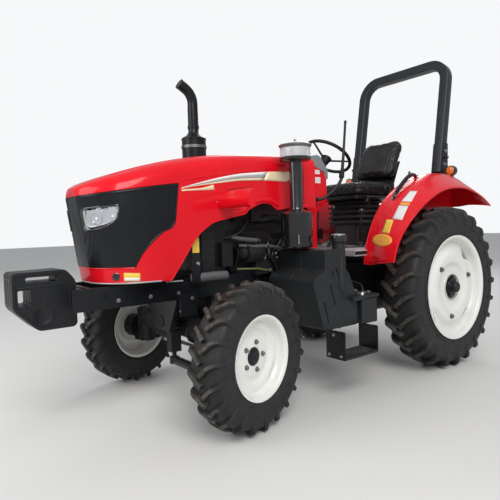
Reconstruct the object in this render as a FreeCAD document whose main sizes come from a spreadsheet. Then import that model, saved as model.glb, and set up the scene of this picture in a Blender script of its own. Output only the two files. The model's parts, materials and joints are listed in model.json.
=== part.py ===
import FreeCAD, Part
import math
import os
import re

import Sketcher

# Compact four-wheel-drive farm tractor with a roll-over hoop and front ballast weights.
# Millimetres. X points forward, Y to the driver's left, Z up from the ground. Each piece is
# drawn from the point on the ground under the rear axle, and its Placement then moves it by
# axle_x, so that the finished tractor stands centred over the origin.

# Columns: name, value, what it is
SIZES = [
    ("wheelbase", 1850, "rear axle to front axle"),
    ("front_reach", 2834, "rear axle to the face of the front weights"),
    ("rear_reach", 830, "rear axle to the ends of the lower links"),
    ("seat_gap", 0.3, "clearance of pieces that rest on each other"),
    ("run_gap", 8, "clearance beside pieces that move"),
    # Rear wheels
    ("rear_tyre_r", 592, "rear tyre radius over the lugs"),
    ("rear_tyre_w", 276, "rear tyre width"),
    ("rear_bead_r", 356, "rear rim bead seat radius"),
    ("rear_flange_r", 381, "rear rim flange radius"),
    ("rear_rim_w", 262, "rear rim width over the flanges"),
    ("rear_track_y", 660, "centre line to the middle of a rear tyre"),
    ("rear_lug_rise", 34, "height of a rear lug"),
    ("rear_lugs", 24, "lugs on each side of a rear tyre"),
    ("rear_hub_r", 62, "rear axle shaft end radius"),
    ("rear_hole_r", 92, "centre hole of the rear disc"),
    ("rear_dish_in", 52, "depth of the rear disc inside the rim's outer face"),
    # Front wheels
    ("front_tyre_r", 396, "front tyre radius over the lugs"),
    ("front_tyre_w", 198, "front tyre width"),
    ("front_bead_r", 206, "front rim bead seat radius"),
    ("front_flange_r", 226, "front rim flange radius"),
    ("front_rim_w", 170, "front rim width over the flanges"),
    ("front_track_y", 650, "centre line to the middle of a front tyre, wheels straight"),
    ("front_lug_rise", 26, "height of a front lug"),
    ("front_lugs", 22, "lugs on each side of a front tyre"),
    ("front_hub_r", 38, "front hub cap radius"),
    ("front_hole_r", 46, "centre hole of the front disc"),
    ("front_dish_in", 70, "depth of the front disc inside the rim's outer face"),
    ("rim_wall", 7, "rim and disc thickness"),
    # Steering
    ("kingpin_y", 500, "centre line to a kingpin"),
    ("kingpin_r", 58, "steered housing radius"),
    ("steer_rest", 13.3, "angle to the left at which the front wheels stand"),
    ("arm_reach", 175, "kingpin to tie rod end"),
    ("arm_z", 318, "height of the steering arms' middle"),
    ("ram_reach", 110, "kingpin to cylinder eye"),
    ("ram_y", 60, "centre line to the cylinder's pivot"),
    ("ram_stop", 14, "how far the cylinder's pivot is ahead of straight"),
    ("rod_r", 14, "tie rod radius"),
    ("pin_up", 60, "the axle's pivot pin above the beam's middle"),
    ("pin_r", 34, "radius of the axle's pivot pin"),
    ("axle_up", 66, "front axle beam above the wheel centres"),
    ("beam_r", 54, "front axle beam radius in the middle"),
    ("beam_end_r", 62, "front axle beam radius towards the kingpins"),
    # Rear axle and transmission
    ("trumpet_r", 80, "axle tube radius at the wheel"),
    ("case_w", 340, "transmission case width at the rear axle"),
    ("gear_w", 290, "gearbox width"),
    ("gear_front", 940, "rear axle to the gearbox's front face"),
    ("lift_w", 260, "width of the lift housing"),
    ("case_back", 210, "rear axle to the case's back face"),
    ("case_low", 400, "bottom of the transmission case"),
    ("case_high", 790, "top of the transmission case"),
    # Engine
    ("engine_l", 600, "engine length"),
    ("engine_w", 300, "engine block width"),
    ("engine_low", 470, "underside of the sump"),
    ("engine_top", 1190, "top of the valve cover"),
    # Front frame
    ("rail_y", 200, "centre line to the outer face of a frame rail"),
    ("rail_w", 16, "frame rail plate thickness"),
    ("rail_low", 668, "underside of the front frame rails"),
    ("rail_high", 785, "top of the front frame rails"),
    # Front weights
    ("weight_count", 4, "weights hung on the frame"),
    ("weight_pitch", 45, "spacing of the weights"),
    ("weight_w", 40, "thickness of one weight"),
    # Bonnet
    ("bonnet_back", 950, "rear axle to the bonnet's rear edge"),
    ("bonnet_high", 1551, "top of the bonnet at its rear edge"),
    ("bonnet_wall", 5, "bonnet sheet with its folded edges"),
    ("bonnet_w", 620, "bonnet width"),
    ("mask_gap", 0.6, "gap between the mask and the bonnet"),
    # Roll-over hoop
    ("hoop_y", 424, "centre line to the hoop's posts"),
    ("hoop_w", 76, "hoop tube width"),
    ("hoop_top", 2450, "top of the hoop"),
    ("hoop_foot_x", -380, "foot of the hoop's posts, ahead of the rear axle"),
    ("hoop_foot_z", 1480, "foot of the hoop's posts"),
    ("hoop_lean", 160, "how far the top of the hoop stands behind its foot"),
    ("hoop_bend", 150, "hoop corner radius"),
    # Fenders
    ("fender_in", 474, "centre line to the fender's inner side"),
    ("fender_out", 800, "centre line to the fender's outer edge"),
    ("fender_wall", 5, "fender sheet thickness"),
    # Platform, seat and controls
    ("deck_z", 905, "top of the platform"),
    ("deck_w", 1200, "width of the platform ahead of the fenders"),
    ("deck_h", 40, "thickness of the platform"),
    ("seat_x", 170, "seat middle"),
    ("seat_z", 1400, "top of the seat cushion"),
    ("seat_w", 480, "seat width"),
    ("wheel_r", 200, "steering wheel radius"),
    ("wheel_x", 532, "steering wheel hub, ahead of the rear axle"),
    ("wheel_z", 1560, "height of the steering wheel hub"),
    ("wheel_tilt", 35, "lean of the steering column from upright"),
    # Tank
    ("tank_y", 640, "centre line to the tank's outer face"),
    # Exhaust and air cleaner
    ("muffler_r", 90, "muffler radius"),
    ("stack_r", 38, "exhaust pipe radius"),
    ("cleaner_r", 100, "air cleaner radius"),
    # Linkage
    ("link_y", 330, "centre line to a lower link end"),
    ("link_root_y", 235, "centre line to a lower link pivot"),
    ("link_x", -90, "lower link pivots"),
    ("link_z", 430, "height of the lower link pivots"),
    ("lift_reach", 260, "lift arm and link length to the lift rod"),
    ("lift_z", 1010, "height of the lift shaft"),
    ("ball_bore_r", 11.2, "lower link ball bore"),
    ("top_bore_r", 9.7, "top link ball bore"),
    ("ball_r", 28, "link ball radius"),
    ("pto_r", 17.5, "power take-off shaft radius"),
    ("drawbar_bore_r", 14, "drawbar pin hole"),
]

# Places worked out from the sizes above
PLACES = [
    ("axle_x", "(rear_reach - front_reach) / 2"),
    ("rear_axle_z", "rear_tyre_r"),
    ("front_axle_z", "front_tyre_r"),
    ("beam_z", "front_axle_z + axle_up"),
    ("wheel_reach", "front_track_y - kingpin_y"),
    ("engine_front", "gear_front + engine_l"),
    ("weights_w", "(weight_count - 1) * weight_pitch + weight_w"),
    ("frame_front", "front_reach - 250"),
    ("weights_back", "frame_front - 59"),
    ("nose_reach", "frame_front - 79"),
    ("tank_front", "wheelbase - 518"),
]

doc = FreeCAD.newDocument("Tractor")
sheet = doc.addObject("Spreadsheet::Sheet", "Sizes")
for row, (name, value, note) in enumerate(SIZES, start=1):
    sheet.set(f"A{row}", note)
    sheet.set(f"B{row}", str(value))
    sheet.setAlias(f"B{row}", name)
places = doc.addObject("App::VarSet", "Places")
PLACED = {name: "Places" for name, text in PLACES}
PLACED.update({name: "Sizes" for name, value, note in SIZES})


def bound(text):
    """Turns the names of sizes and places in an expression into references."""
    return re.sub(
        r"[a-z][a-z_0-9]*",
        lambda word: f"{PLACED[word[0]]}.{word[0]}" if word[0] in PLACED else word[0],
        str(text),
    )


for name, text in PLACES:
    places.addProperty("App::PropertyFloat", name, "Places")
    places.setExpression(name, bound(text))
doc.recompute()


class Lengths:
    """The same sizes and places as plain numbers, for shapes made with Part's functions."""


mm = Lengths()
for name in PLACED:
    holder = sheet if PLACED[name] == "Sizes" else places
    setattr(mm, name, float(getattr(holder, name)))

VEC = FreeCAD.Vector
FLAT = FreeCAD.Rotation()
TURN = {
    "x": FreeCAD.Rotation(VEC(0, 1, 0), 90),
    "y": FreeCAD.Rotation(VEC(1, 0, 0), -90),
    "z": FLAT,
}
NODES = []


# Building blocks
def put(solid, x=0, y=0, z=0, rotation=FLAT):
    solid.Placement = FreeCAD.Placement(VEC(), rotation)
    for axis, text in zip("xyz", (x, y, z)):
        solid.setExpression(f"Placement.Base.{axis}", bound(text))
    return solid


def box(x, y, z, length, width, height):
    """A block from its low corner."""
    solid = doc.addObject("Part::Box", "Block")
    for side, text in zip(("Length", "Width", "Height"), (length, width, height)):
        solid.setExpression(side, bound(text))
    return put(solid, x, y, z)


def slab(x, z, length, width, height, y="0"):
    """A block that is centred across the tractor on y."""
    return box(x, f"{y} - ({width}) / 2", z, length, width, height)


def rod(axis, x, y, z, radius, length):
    """A round bar from one end, along an axis."""
    solid = doc.addObject("Part::Cylinder", "Round")
    solid.setExpression("Radius", bound(radius))
    solid.setExpression("Height", bound(length))
    return put(solid, x, y, z, TURN[axis])


CORNER_SHARE = 1.0353


def prism(axis, x, y, z, radius, length, sides=12):
    """A many-sided round bar from one end, along an axis. A hole of twelve sides clears a
    round bar where its corners stand CORNER_SHARE times as far out as its flats."""
    solid = doc.addObject("Part::Prism", "ManySided")
    solid.Polygon = sides
    solid.setExpression("Circumradius", bound(radius))
    solid.setExpression("Height", bound(length))
    return put(solid, x, y, z, TURN[axis])


def fused(*solids):
    whole = doc.addObject("Part::MultiFuse", "Fused")
    whole.Shapes = list(solids)
    whole.Refine = True
    return whole


def minus(base, *tools):
    whole = doc.addObject("Part::Cut", "Cut")
    whole.Base = base
    whole.Tool = tools[0] if len(tools) == 1 else fused(*tools)
    return whole


def feature(shape):
    solid = doc.addObject("Part::Feature", "Shaped")
    solid.Shape = shape
    return solid


def grouped(*solids):
    """Solids that don't touch, in one piece."""
    group = doc.addObject("Part::Compound", "Group")
    group.Links = list(solids)
    return group


def block(x, y, z):
    """A plain block from its low and high limits."""
    return Part.makeBox(x[1] - x[0], y[1] - y[0], z[1] - z[0], VEC(x[0], y[0], z[0]))


def other_side(shape):
    return shape.mirror(VEC(), VEC(0, 1, 0))


def node(label, solid, x="0", y="0", z="0", turn=None):
    """Names a finished piece and moves it into the tractor's frame."""
    solid.Label = label
    solid.Placement = FreeCAD.Placement(VEC(), FLAT)
    put(solid, f"axle_x + {x}", y, z, FLAT)
    if turn:
        solid.Placement = FreeCAD.Placement(VEC(), FreeCAD.Rotation(VEC(0, 0, 1), 1))
        solid.setExpression("Placement.Rotation.Angle", bound(turn))
    NODES.append(solid)
    return solid


PLANES = {"z": "XY_Plane", "y": "XZ_Plane", "x": "YZ_Plane"}


def plate(axis, outline, low, high, rounding=None):
    """A body whose outline is padded along an axis, from low to high."""
    body = doc.addObject("PartDesign::Body", "Plate")
    plane = [o for o in body.Origin.OriginFeatures if o.Role == PLANES[axis]][0]
    sketch = body.newObject("Sketcher::SketchObject", "Outline")
    sketch.AttachmentSupport = [(plane, "")]
    sketch.MapMode = "FlatFace"
    start = f"-({high})" if axis == "y" else low
    sketch.setExpression("AttachmentOffset.Base.z", bound(start))
    spots = [[float(number(text)) for text in point] for point in outline]
    count = len(outline)
    for i, (a, b) in enumerate(zip(spots, spots[1:] + spots[:1])):
        sketch.addGeometry(Part.LineSegment(VEC(*a, 0), VEC(*b, 0)))
    for i in range(count):
        sketch.addConstraint(Sketcher.Constraint("Coincident", i, 2, (i + 1) % count, 1))
    for i, (spot, point) in enumerate(zip(spots, outline)):
        for way, value, text in zip(("DistanceX", "DistanceY"), spot, point):
            at = sketch.addConstraint(Sketcher.Constraint(way, -1, 1, i, 1, value))
            sketch.setExpression(f"Constraints[{at}]", bound(text))
    pad = body.newObject("PartDesign::Pad", "Pad")
    pad.Profile = sketch
    pad.setExpression("Length", bound(f"({high}) - ({low})"))
    doc.recompute()
    if rounding:
        across = "xyz".index(axis)
        edges = [
            f"Edge{k}"
            for k, edge in enumerate(pad.Shape.Edges, start=1)
            if abs(abs(edge.tangentAt(edge.FirstParameter)[across]) - 1) < 1e-6
        ]
        fillet = body.newObject("PartDesign::Fillet", "Rounding")
        fillet.Base = (pad, edges)
        fillet.setExpression("Radius", bound(rounding))
        body.Tip = fillet
    return body


reckoned = doc.addObject("App::VarSet", "Reckoned")
reckoned.addProperty("App::PropertyFloat", "value", "Reckoned")


def number(text):
    """The value of a bound expression, worked out by the document."""
    reckoned.setExpression("value", bound(text))
    reckoned.recompute()
    return reckoned.value


# Shapes from Part's own functions, for forms that sketches and primitives can't give.
# Round forms of this kind are many-sided: ROUND_SIDES flats stand for a full turn.
ROUND_SIDES = 20


def moved(shape, placement):
    copy = shape.copy()
    copy.transformShape(placement.toMatrix())
    return copy


def polygon(points):
    return Part.makePolygon([VEC(*p) for p in points] + [VEC(*points[0])])


def flat_faces(corners, short_fold=False):
    """One face through four corners if they lie in a plane, or else two triangles."""
    kept = []
    for corner in corners:
        corner = VEC(*corner)
        if all((corner - other).Length > 1e-6 for other in kept):
            kept.append(corner)
    if len(kept) < 3:
        return []
    normal = (kept[1] - kept[0]).cross(kept[2] - kept[0])
    if len(kept) == 3 or abs((kept[3] - kept[0]).dot(normal)) < 1e-6 * normal.Length:
        return [Part.Face(polygon(kept))]
    if short_fold and (kept[2] - kept[0]).Length > (kept[3] - kept[1]).Length:
        kept = kept[1:] + kept[:1]
    return [Part.Face(polygon(kept[:3])), Part.Face(polygon([kept[0], kept[2], kept[3]]))]


def whole_end(ring):
    return [Part.Face(polygon(ring))]


def banded_end(ring):
    """An end that is the same on both sides but bends from band to band."""
    faces = []
    for i in range(len(ring) // 2 - 1):
        faces += flat_faces([ring[i], ring[i + 1], ring[-2 - i], ring[-1 - i]])
    return faces


def skinned(rings, closed=False, end=whole_end, short_fold=False):
    """A solid whose flat faces join each ring of points to the next."""
    faces = []
    rings = [[VEC(*p) for p in ring] for ring in rings]
    for a, b in zip(rings, rings[1:] + rings[:1] if closed else rings[1:]):
        for i in range(len(a)):
            j = (i + 1) % len(a)
            faces += flat_faces([a[i], a[j], b[j], b[i]], short_fold)
    if not closed:
        faces += end(rings[0]) + end(rings[-1])
    shell = Part.makeShell(faces)
    shell.sewShape()
    solid = Part.Solid(shell)
    if solid.Volume < 0:
        solid.reverse()
    return solid


def circle_points(centre, way, radius, sides, turn=0.5):
    """Corners of a regular polygon across a direction."""
    way = VEC(*way).normalize()
    side = way.cross(VEC(0, 0, 1) if abs(way.z) < 0.9 else VEC(1, 0, 0)).normalize()
    other = way.cross(side)
    steps = [2 * math.pi * (k + turn) / sides for k in range(sides)]
    return [
        VEC(*centre) + side * radius * math.cos(step) + other * radius * math.sin(step)
        for step in steps
    ]


def turned_form(start, way, table, sides=ROUND_SIDES):
    """A many-sided turned form from a table of (distance along, radius)."""
    way = VEC(*way).normalize()
    rings = [circle_points(VEC(*start) + way * far, way, r, sides) for far, r in table]
    return skinned(rings)


def bar_between(start, end, radius, sides=8):
    way = VEC(*end) - VEC(*start)
    return turned_form(start, way, [(0, radius), (way.Length, radius)], sides)


def bent_bar(points, radius, sides=12):
    """A bar through points, mitred where it turns."""
    points = [VEC(*p) for p in points]
    ways = [(b - a).normalize() for a, b in zip(points, points[1:])]
    ring = circle_points(points[0], ways[0], radius, sides)
    rings = [ring]
    for i, way in enumerate(ways):
        corner = points[i + 1]
        onward = ways[i + 1] if i + 1 < len(ways) else way
        normal = (way + onward).normalize()
        ring = [p + way * ((corner - p).dot(normal) / way.dot(normal)) for p in ring]
        rings.append(ring)
    return skinned(rings)


def arc_points(before, corner, after, bend, steps):
    """Points that round a corner with an arc of a given radius."""
    before, corner, after = VEC(*before), VEC(*corner), VEC(*after)
    way_in = (corner - before).normalize()
    way_out = (after - corner).normalize()
    half = way_in.getAngle(way_out) / 2
    centre = corner + (way_out - way_in).normalize() * bend / math.cos(half)
    arm = corner - way_in * bend * math.tan(half) - centre
    other = way_in
    points = []
    for k in range(steps + 1):
        step = 2 * half * k / steps
        points.append(centre + arm * math.cos(step) + other * bend * math.sin(step))
    return points


# Tyres: the bars of rubber run from a nose on the centre line to the shoulder and down the
# sidewall, left and right half a pitch apart. One pitch is drawn and repeated round the wheel.
# Columns: share of the half width, share of the wall height, pitches ahead, half thickness
# in pitches, share of the lug's rise
LUG = [
    (0.00, 1.00, 0.60, 0.11, 1.00),
    (0.45, 1.00, 0.20, 0.09, 1.00),
    (0.92, 0.90, 0.02, 0.10, 0.80),
    (1.00, 0.52, 0.00, 0.10, 0.00),
]
LUG_FOOT = 1.3
RIM_LIP, RIM_FOOT = 1.6, 0.4


def tyre_shape(radius, width, bead, rise, lugs, rim_w):
    lugs = int(round(lugs))
    pitch = 2 * math.pi / lugs
    wall = radius - rise - bead
    seat = (bead + mm.seat_gap) / math.cos(pitch / 4)
    bead_across = (rim_w / 2 - RIM_LIP * mm.rim_wall - 1) / (width / 2)

    def spot(side, across, r, turn):
        angle = (turn + (0 if side > 0 else 0.5)) * pitch
        return (r * math.sin(angle), side * across * width / 2, r * math.cos(angle))

    faces = []
    for side in (1, -1):
        foot, top = [], []
        for across, up, ahead, thick, share in LUG:
            low = bead + up * wall
            for ring, r, spread in ((foot, low, LUG_FOOT), (top, low + rise * share, 1)):
                ring.append(
                    [spot(side, across, r, ahead + way * thick * spread) for way in (-1, 1)]
                )
                ring[-1].append(spot(side, across, r, ahead + 1 - thick * spread))
        for i in (0, 1):
            faces += flat_faces([top[i][0], top[i][1], top[i + 1][1], top[i + 1][0]])
            for k in (0, 1):
                faces += flat_faces([foot[i][k], top[i][k], top[i + 1][k], foot[i + 1][k]])
        faces += flat_faces([foot[0][0], top[0][0], top[0][1], foot[0][1]])
        faces += flat_faces([top[2][0], top[2][1], foot[3][1], foot[3][0]])
        for k in (0, 1):
            faces += flat_faces([foot[2][k], top[2][k], foot[3][k]])
        for i in (1, 2):
            faces += flat_faces([foot[i][1], foot[i][2], foot[i + 1][2], foot[i + 1][1]])
        # The other side's nose stands on the edge of this side's first valley
        _, _, ahead, thick, _ = LUG[0]
        nose = [
            spot(-side, 0, bead + wall, ahead + way * thick * LUG_FOOT)
            for way in (-1, 1)
        ]
        if side < 0:
            nose = [turned_point(point, pitch) for point in nose]
        corner = foot[1][1]
        edge = [foot[0][1], *nose, foot[0][2], foot[1][2]]
        for one, other in zip(edge, edge[1:]):
            faces += flat_faces([corner, one, other])
        bead_spots = [spot(side, bead_across, seat, turn) for turn in (-0.25, 0.25, 0.75)]
        faces += flat_faces([foot[3][0], foot[3][1], bead_spots[1], bead_spots[0]])
        faces += flat_faces([foot[3][1], foot[3][2], bead_spots[2], bead_spots[1]])
    for turn in (-0.25, 0.25):
        ends = [(1, turn), (1, turn + 0.5), (-1, turn), (-1, turn - 0.5)]
        faces += flat_faces([spot(side, bead_across, seat, at) for side, at in ends])
    pattern = []
    for k in range(lugs):
        for face in faces:
            copy = face.copy()
            copy.rotate(VEC(), VEC(0, 1, 0), 360 * k / lugs)
            pattern.append(copy)
    shell = Part.makeShell(pattern)
    shell.sewShape()
    solid = Part.Solid(shell)
    if solid.Volume < 0:
        solid.reverse()
    return solid


def turned_point(point, angle):
    """A point turned forward about the wheel's axle."""
    x, y, z = point
    return (
        x * math.cos(angle) + z * math.sin(angle),
        y,
        z * math.cos(angle) - x * math.sin(angle),
    )


def wheel_form(profile, flats):
    """Turns a closed outline of (across, radius) points about the wheel's axle."""
    rings = []
    for k in range(flats):
        step = 2 * math.pi * (k + 0.5) / flats
        rings.append([(r * math.sin(step), y, r * math.cos(step)) for y, r in profile])
    return skinned(rings, closed=True)


RIM_SIDES = 18


def rim_shape(width, flange, bead, dish, hole, flats):
    """Rim and disc. The outer side faces +Y."""
    half = width / 2
    wall = mm.rim_wall
    inner = bead - wall
    lip = RIM_LIP * wall
    face = half - dish
    profile = [
        (half, flange),
        (half - lip, bead),
        (lip - half, bead),
        (-half, flange),
        (RIM_FOOT * wall - half, inner),
        (face - wall, inner),
        (face - wall, hole),
        (face, hole),
        (face, inner),
        (half - RIM_FOOT * wall, inner),
    ]
    return wheel_form(profile, flats)


rear_tyre = tyre_shape(
    mm.rear_tyre_r, mm.rear_tyre_w, mm.rear_bead_r, mm.rear_lug_rise, mm.rear_lugs,
    mm.rear_rim_w,
)
front_tyre = tyre_shape(
    mm.front_tyre_r, mm.front_tyre_w, mm.front_bead_r, mm.front_lug_rise, mm.front_lugs,
    mm.front_rim_w,
)
rear_rim = rim_shape(
    mm.rear_rim_w, mm.rear_flange_r, mm.rear_bead_r, mm.rear_dish_in, mm.rear_hole_r,
    RIM_SIDES,
)
front_rim = rim_shape(
    mm.front_rim_w, mm.front_flange_r, mm.front_bead_r, mm.front_dish_in, mm.front_hole_r,
    RIM_SIDES,
)
OTHER_SIDE = {"left": 1, "right": -1}
HUB_FLANGE = 26


def rear_hub(sign):
    """The axle shaft's end, which drives the disc and turns with it."""
    inside = mm.rear_rim_w / 2 - mm.rear_dish_in - mm.rim_wall
    seat = inside - mm.seat_gap
    table = [
        (inside - HUB_FLANGE, mm.rear_hole_r + HUB_FLANGE),
        (seat, mm.rear_hole_r + HUB_FLANGE),
        (seat, mm.rear_hub_r),
        (inside + 20, mm.rear_hub_r),
        (inside + 20, 0.6 * mm.rear_hub_r),
        (inside + 62, 0.6 * mm.rear_hub_r),
    ]
    return turned_form((0, 0, 0), (0, sign, 0), table, 12)


for side, sign in OTHER_SIDE.items():
    spot = {"y": f"{sign} * rear_track_y", "z": "rear_axle_z"}
    node(f"rear_tyre_{side}", feature(rear_tyre if sign > 0 else other_side(rear_tyre)), **spot)
    node(f"rear_rim_{side}", feature(rear_rim if sign > 0 else other_side(rear_rim)), **spot)
    node(f"rear_hub_{side}", feature(rear_hub(sign)), **spot)


# Front axle: a beam on a fore and aft pin under the frame. Its bevel casing and drive nose
# stand to the right, and a bolted flange joins the left half.
CASING_Y, CASING_HALF, CASING_R = -165, 65, 94
FLANGE_Y, FLANGE_R, FLANGE_HALF = 171, 76, 11
NOSE_BACK = 190
post_r = mm.kingpin_r + 6
kingpin_low = mm.beam_z - mm.beam_end_r - 4
ram_pivot_x = mm.wheelbase + mm.ram_reach - mm.ram_stop
arm_top = mm.arm_z + 11
arm_low = mm.arm_z - 11


def front_axle():
    x, z, r, out = mm.wheelbase, mm.beam_z, mm.beam_r, mm.kingpin_y
    end_r = mm.beam_end_r
    table = [
        (-out, end_r),
        (CASING_Y - CASING_HALF - 30, end_r),
        (CASING_Y - CASING_HALF, CASING_R),
        (CASING_Y + CASING_HALF, CASING_R),
        (CASING_Y + CASING_HALF + 30, r),
        (FLANGE_Y - FLANGE_HALF, r),
        (FLANGE_Y - FLANGE_HALF, FLANGE_R),
        (FLANGE_Y + FLANGE_HALF, FLANGE_R),
        (FLANGE_Y + FLANGE_HALF, end_r),
        (out, end_r),
    ]
    beam = turned_form((x, 0, z), (0, 1, 0), table, 12)
    pin = bar_between((x - 150, 0, z + mm.pin_up), (x + 150, 0, z + mm.pin_up), mm.pin_r, 12)
    nose = turned_form((x - NOSE_BACK, CASING_Y, z), (1, 0, 0), [(0, 44), (NOSE_BACK, 56)], 8)
    solids = [pin, nose]
    for sign in (1, -1):
        post = [(0, post_r), (2 * end_r + 8, post_r), (2 * end_r + 24, 0.6 * post_r)]
        solids.append(turned_form((x, sign * out, kingpin_low), (0, 0, 1), post, 10))
    side = (mm.ram_y - 30, mm.ram_y + 30)
    solids.append(block((x, ram_pivot_x + 34), side, (z - 30, z + 2)))
    solids.append(block((ram_pivot_x - 34, ram_pivot_x + 34), side, (mm.arm_z + 22, z)))
    return beam.multiFuse(solids)


node("front_axle", feature(front_axle()))


# Steered housings, drawn straight ahead about their kingpin and then turned by steer_rest.
# The housing's neck passes under the axle's post to the wheel hub.
NECK_REACH = 16


def knuckle(sign):
    top = "beam_z - beam_end_r - 4 - seat_gap"
    post = prism("z", "0", "0", "arm_z - 11", "kingpin_r", f"{top} - arm_z + 11")
    near = f"kingpin_r + {NECK_REACH}"
    out = "wheel_reach + front_rim_w / 2 - front_dish_in - rim_wall - seat_gap"
    start = near if sign > 0 else f"-({out})"
    hub = prism("y", "0", start, "front_axle_z", "front_hole_r + 34", f"{out} - ({near})")
    neck = slab("-50", "arm_z - 11", "100", f"{near} + 2", f"{top} - arm_z + 6", f"{sign} * ({near} + 2) / 2")
    arms = "arm_reach + 24 + ram_reach + 26" if sign > 0 else "arm_reach + 24"
    arm = slab("-arm_reach - 24", "arm_z - 11", arms, "52", "22")
    return fused(post, hub, neck, arm)


def front_cap(sign):
    """The hub's end, in the disc's centre hole."""
    inside = mm.wheel_reach + mm.front_rim_w / 2 - mm.front_dish_in - mm.rim_wall
    hole = mm.front_hole_r - 1
    table = [(0, hole), (mm.rim_wall + 6, hole), (mm.rim_wall + 6, mm.front_hub_r), (46, 33)]
    return turned_form((0, sign * inside, mm.front_axle_z), (0, sign, 0), table, 12)


for side, sign in OTHER_SIDE.items():
    kingpin = {"x": "wheelbase", "y": f"{sign} * kingpin_y", "turn": "steer_rest"}
    node(f"steer_knuckle_{side}", knuckle(sign), **kingpin)
    lift = FreeCAD.Placement(VEC(0, sign * mm.wheel_reach, mm.front_axle_z), FLAT)
    tyre = front_tyre if sign > 0 else other_side(front_tyre)
    rim = front_rim if sign > 0 else other_side(front_rim)
    node(f"front_tyre_{side}", feature(Part.makeCompound([moved(tyre, lift)])), **kingpin)
    wheel = Part.makeCompound([moved(rim, lift), front_cap(sign)])
    node(f"front_rim_{side}", feature(wheel), **kingpin)


# Tie rod behind the axle and the steering cylinder ahead of it, both under the arms
def turned(reach):
    """Where the end of a steering arm stands when the wheels stand at steer_rest."""
    rad = math.radians(mm.steer_rest)
    return mm.wheelbase + reach * math.cos(rad), reach * math.sin(rad)


EYE_HALF = 20
rod_x, rod_shift = turned(-mm.arm_reach)
rod_z = arm_low - mm.seat_gap - EYE_HALF
ends = [(rod_x, sign * mm.kingpin_y + rod_shift, rod_z) for sign in (-1, 1)]
eyes = [turned_form(end, (0, 0, 1), [(-EYE_HALF, 24), (EYE_HALF, 24)], 12) for end in ends]
node("tie_rod", feature(bar_between(*ends, mm.rod_r).multiFuse(eyes)))

BARREL, BARREL_R, PISTON_R, ROD_BACK = 262, 27, 12, 165
eye_x, eye_shift = turned(mm.ram_reach)
ram_eye = VEC(eye_x, mm.kingpin_y + eye_shift, rod_z)
ram_pivot = VEC(ram_pivot_x, mm.ram_y, rod_z)
ram_way = (ram_eye - ram_pivot).normalize()


def steering_cylinder():
    barrel = turned_form(ram_pivot, ram_way, [(20, BARREL_R), (20 + BARREL, BARREL_R)], 12)
    foot = mm.arm_z + 22 - mm.seat_gap - rod_z
    pin = [(-EYE_HALF, 30), (EYE_HALF, 30), (EYE_HALF, 14), (foot, 14)]
    bore = PISTON_R + mm.seat_gap
    hollow = turned_form(ram_pivot, ram_way, [(50, bore), (30 + BARREL, bore)], 12)
    return barrel.fuse(turned_form(ram_pivot, (0, 0, 1), pin, 12)).cut(hollow)


def ram_rod():
    length = (ram_eye - ram_pivot).Length
    bar = turned_form(ram_pivot, ram_way, [(ROD_BACK, PISTON_R), (length - 20, PISTON_R)], 12)
    return bar.fuse(turned_form(ram_eye, (0, 0, 1), [(-EYE_HALF, 26), (EYE_HALF, 26)], 12))


node("steering_cylinder", feature(steering_cylinder()))
node("steering_ram_rod", feature(ram_rod()))


# Front frame: two rails, a front plate, the axle's two carriers, the radiator's floor, the
# hanger for the weights and the catch frame that the bonnet closes on
def front_frame():
    rail_h = "rail_high - rail_low"
    back = "min(engine_front - 60; wheelbase - 200)"
    rails = [
        box(back, y, "rail_low", f"frame_front - ({back})", "rail_w", rail_h)
        for y in ("rail_y - rail_w", "-rail_y")
    ]
    front = slab("weights_back - 50", "rail_low", "24", "2 * rail_y", rail_h)
    floor = slab("engine_front + 60", "rail_high - 14", "500", "2 * rail_y", "14")
    carriers = []
    for x in ("wheelbase - 145", "wheelbase + 105"):
        half = "rail_y - rail_w / 2"
        outline = [
            (f"-({half})", "rail_low + 40"),
            (f"-({half})", "rail_low - 20"),
            ("-90", "beam_z + 4"),
            ("90", "beam_z + 4"),
            (half, "rail_low - 20"),
            (half, "rail_low + 40"),
        ]
        carriers.append(plate("x", outline, x, f"{x} + 40"))
    hanger = slab("weights_back - 27", "rail_low + 20", "27 - seat_gap", "weights_w + 20", "90")
    catch = slab("engine_front + 320", "rail_high", "40", "520", "300")
    gap = slab("engine_front + 310", "rail_high + 30", "60", "430", "240")
    hole_r = f"(pin_r + seat_gap) * {CORNER_SHARE}"
    pin = prism("x", "wheelbase - 200", "0", "beam_z + pin_up", hole_r, "440")
    whole = fused(*rails, front, floor, *carriers, hanger, catch)
    return minus(whole, pin, gap)


node("front_frame", front_frame())


# Front weights: a row of plates with handle slots, hung between the ends of the rails
def front_weights():
    back = "weights_back"
    outline = [
        (back, "rail_high + 40"),
        (f"{back} + 50", "rail_high + 101"),
        ("front_reach - 12", "rail_high + 97"),
        ("front_reach", "rail_high + 85"),
        ("front_reach", "rail_low + 30"),
        ("front_reach - 116", "rail_low - 85"),
        (f"{back} + 16", "rail_low - 85"),
        (back, "rail_low - 70"),
    ]
    weights = []
    for k in range(int(round(mm.weight_count))):
        low = f"{k} * weight_pitch - weights_w / 2"
        weights.append(plate("y", outline, low, f"{low} + weight_w"))
    bar = slab(back, "rail_low + 40", "60", "weights_w - 20", "60")
    slot = slab("front_reach - 221", "rail_high + 44", "156", "weights_w + 40", "27")
    grip = slab("front_reach - 86", "rail_low + 46", "60", "weights_w + 40", "80")
    return minus(fused(*weights, bar), slot, grip)


node("front_weights", front_weights())


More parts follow.
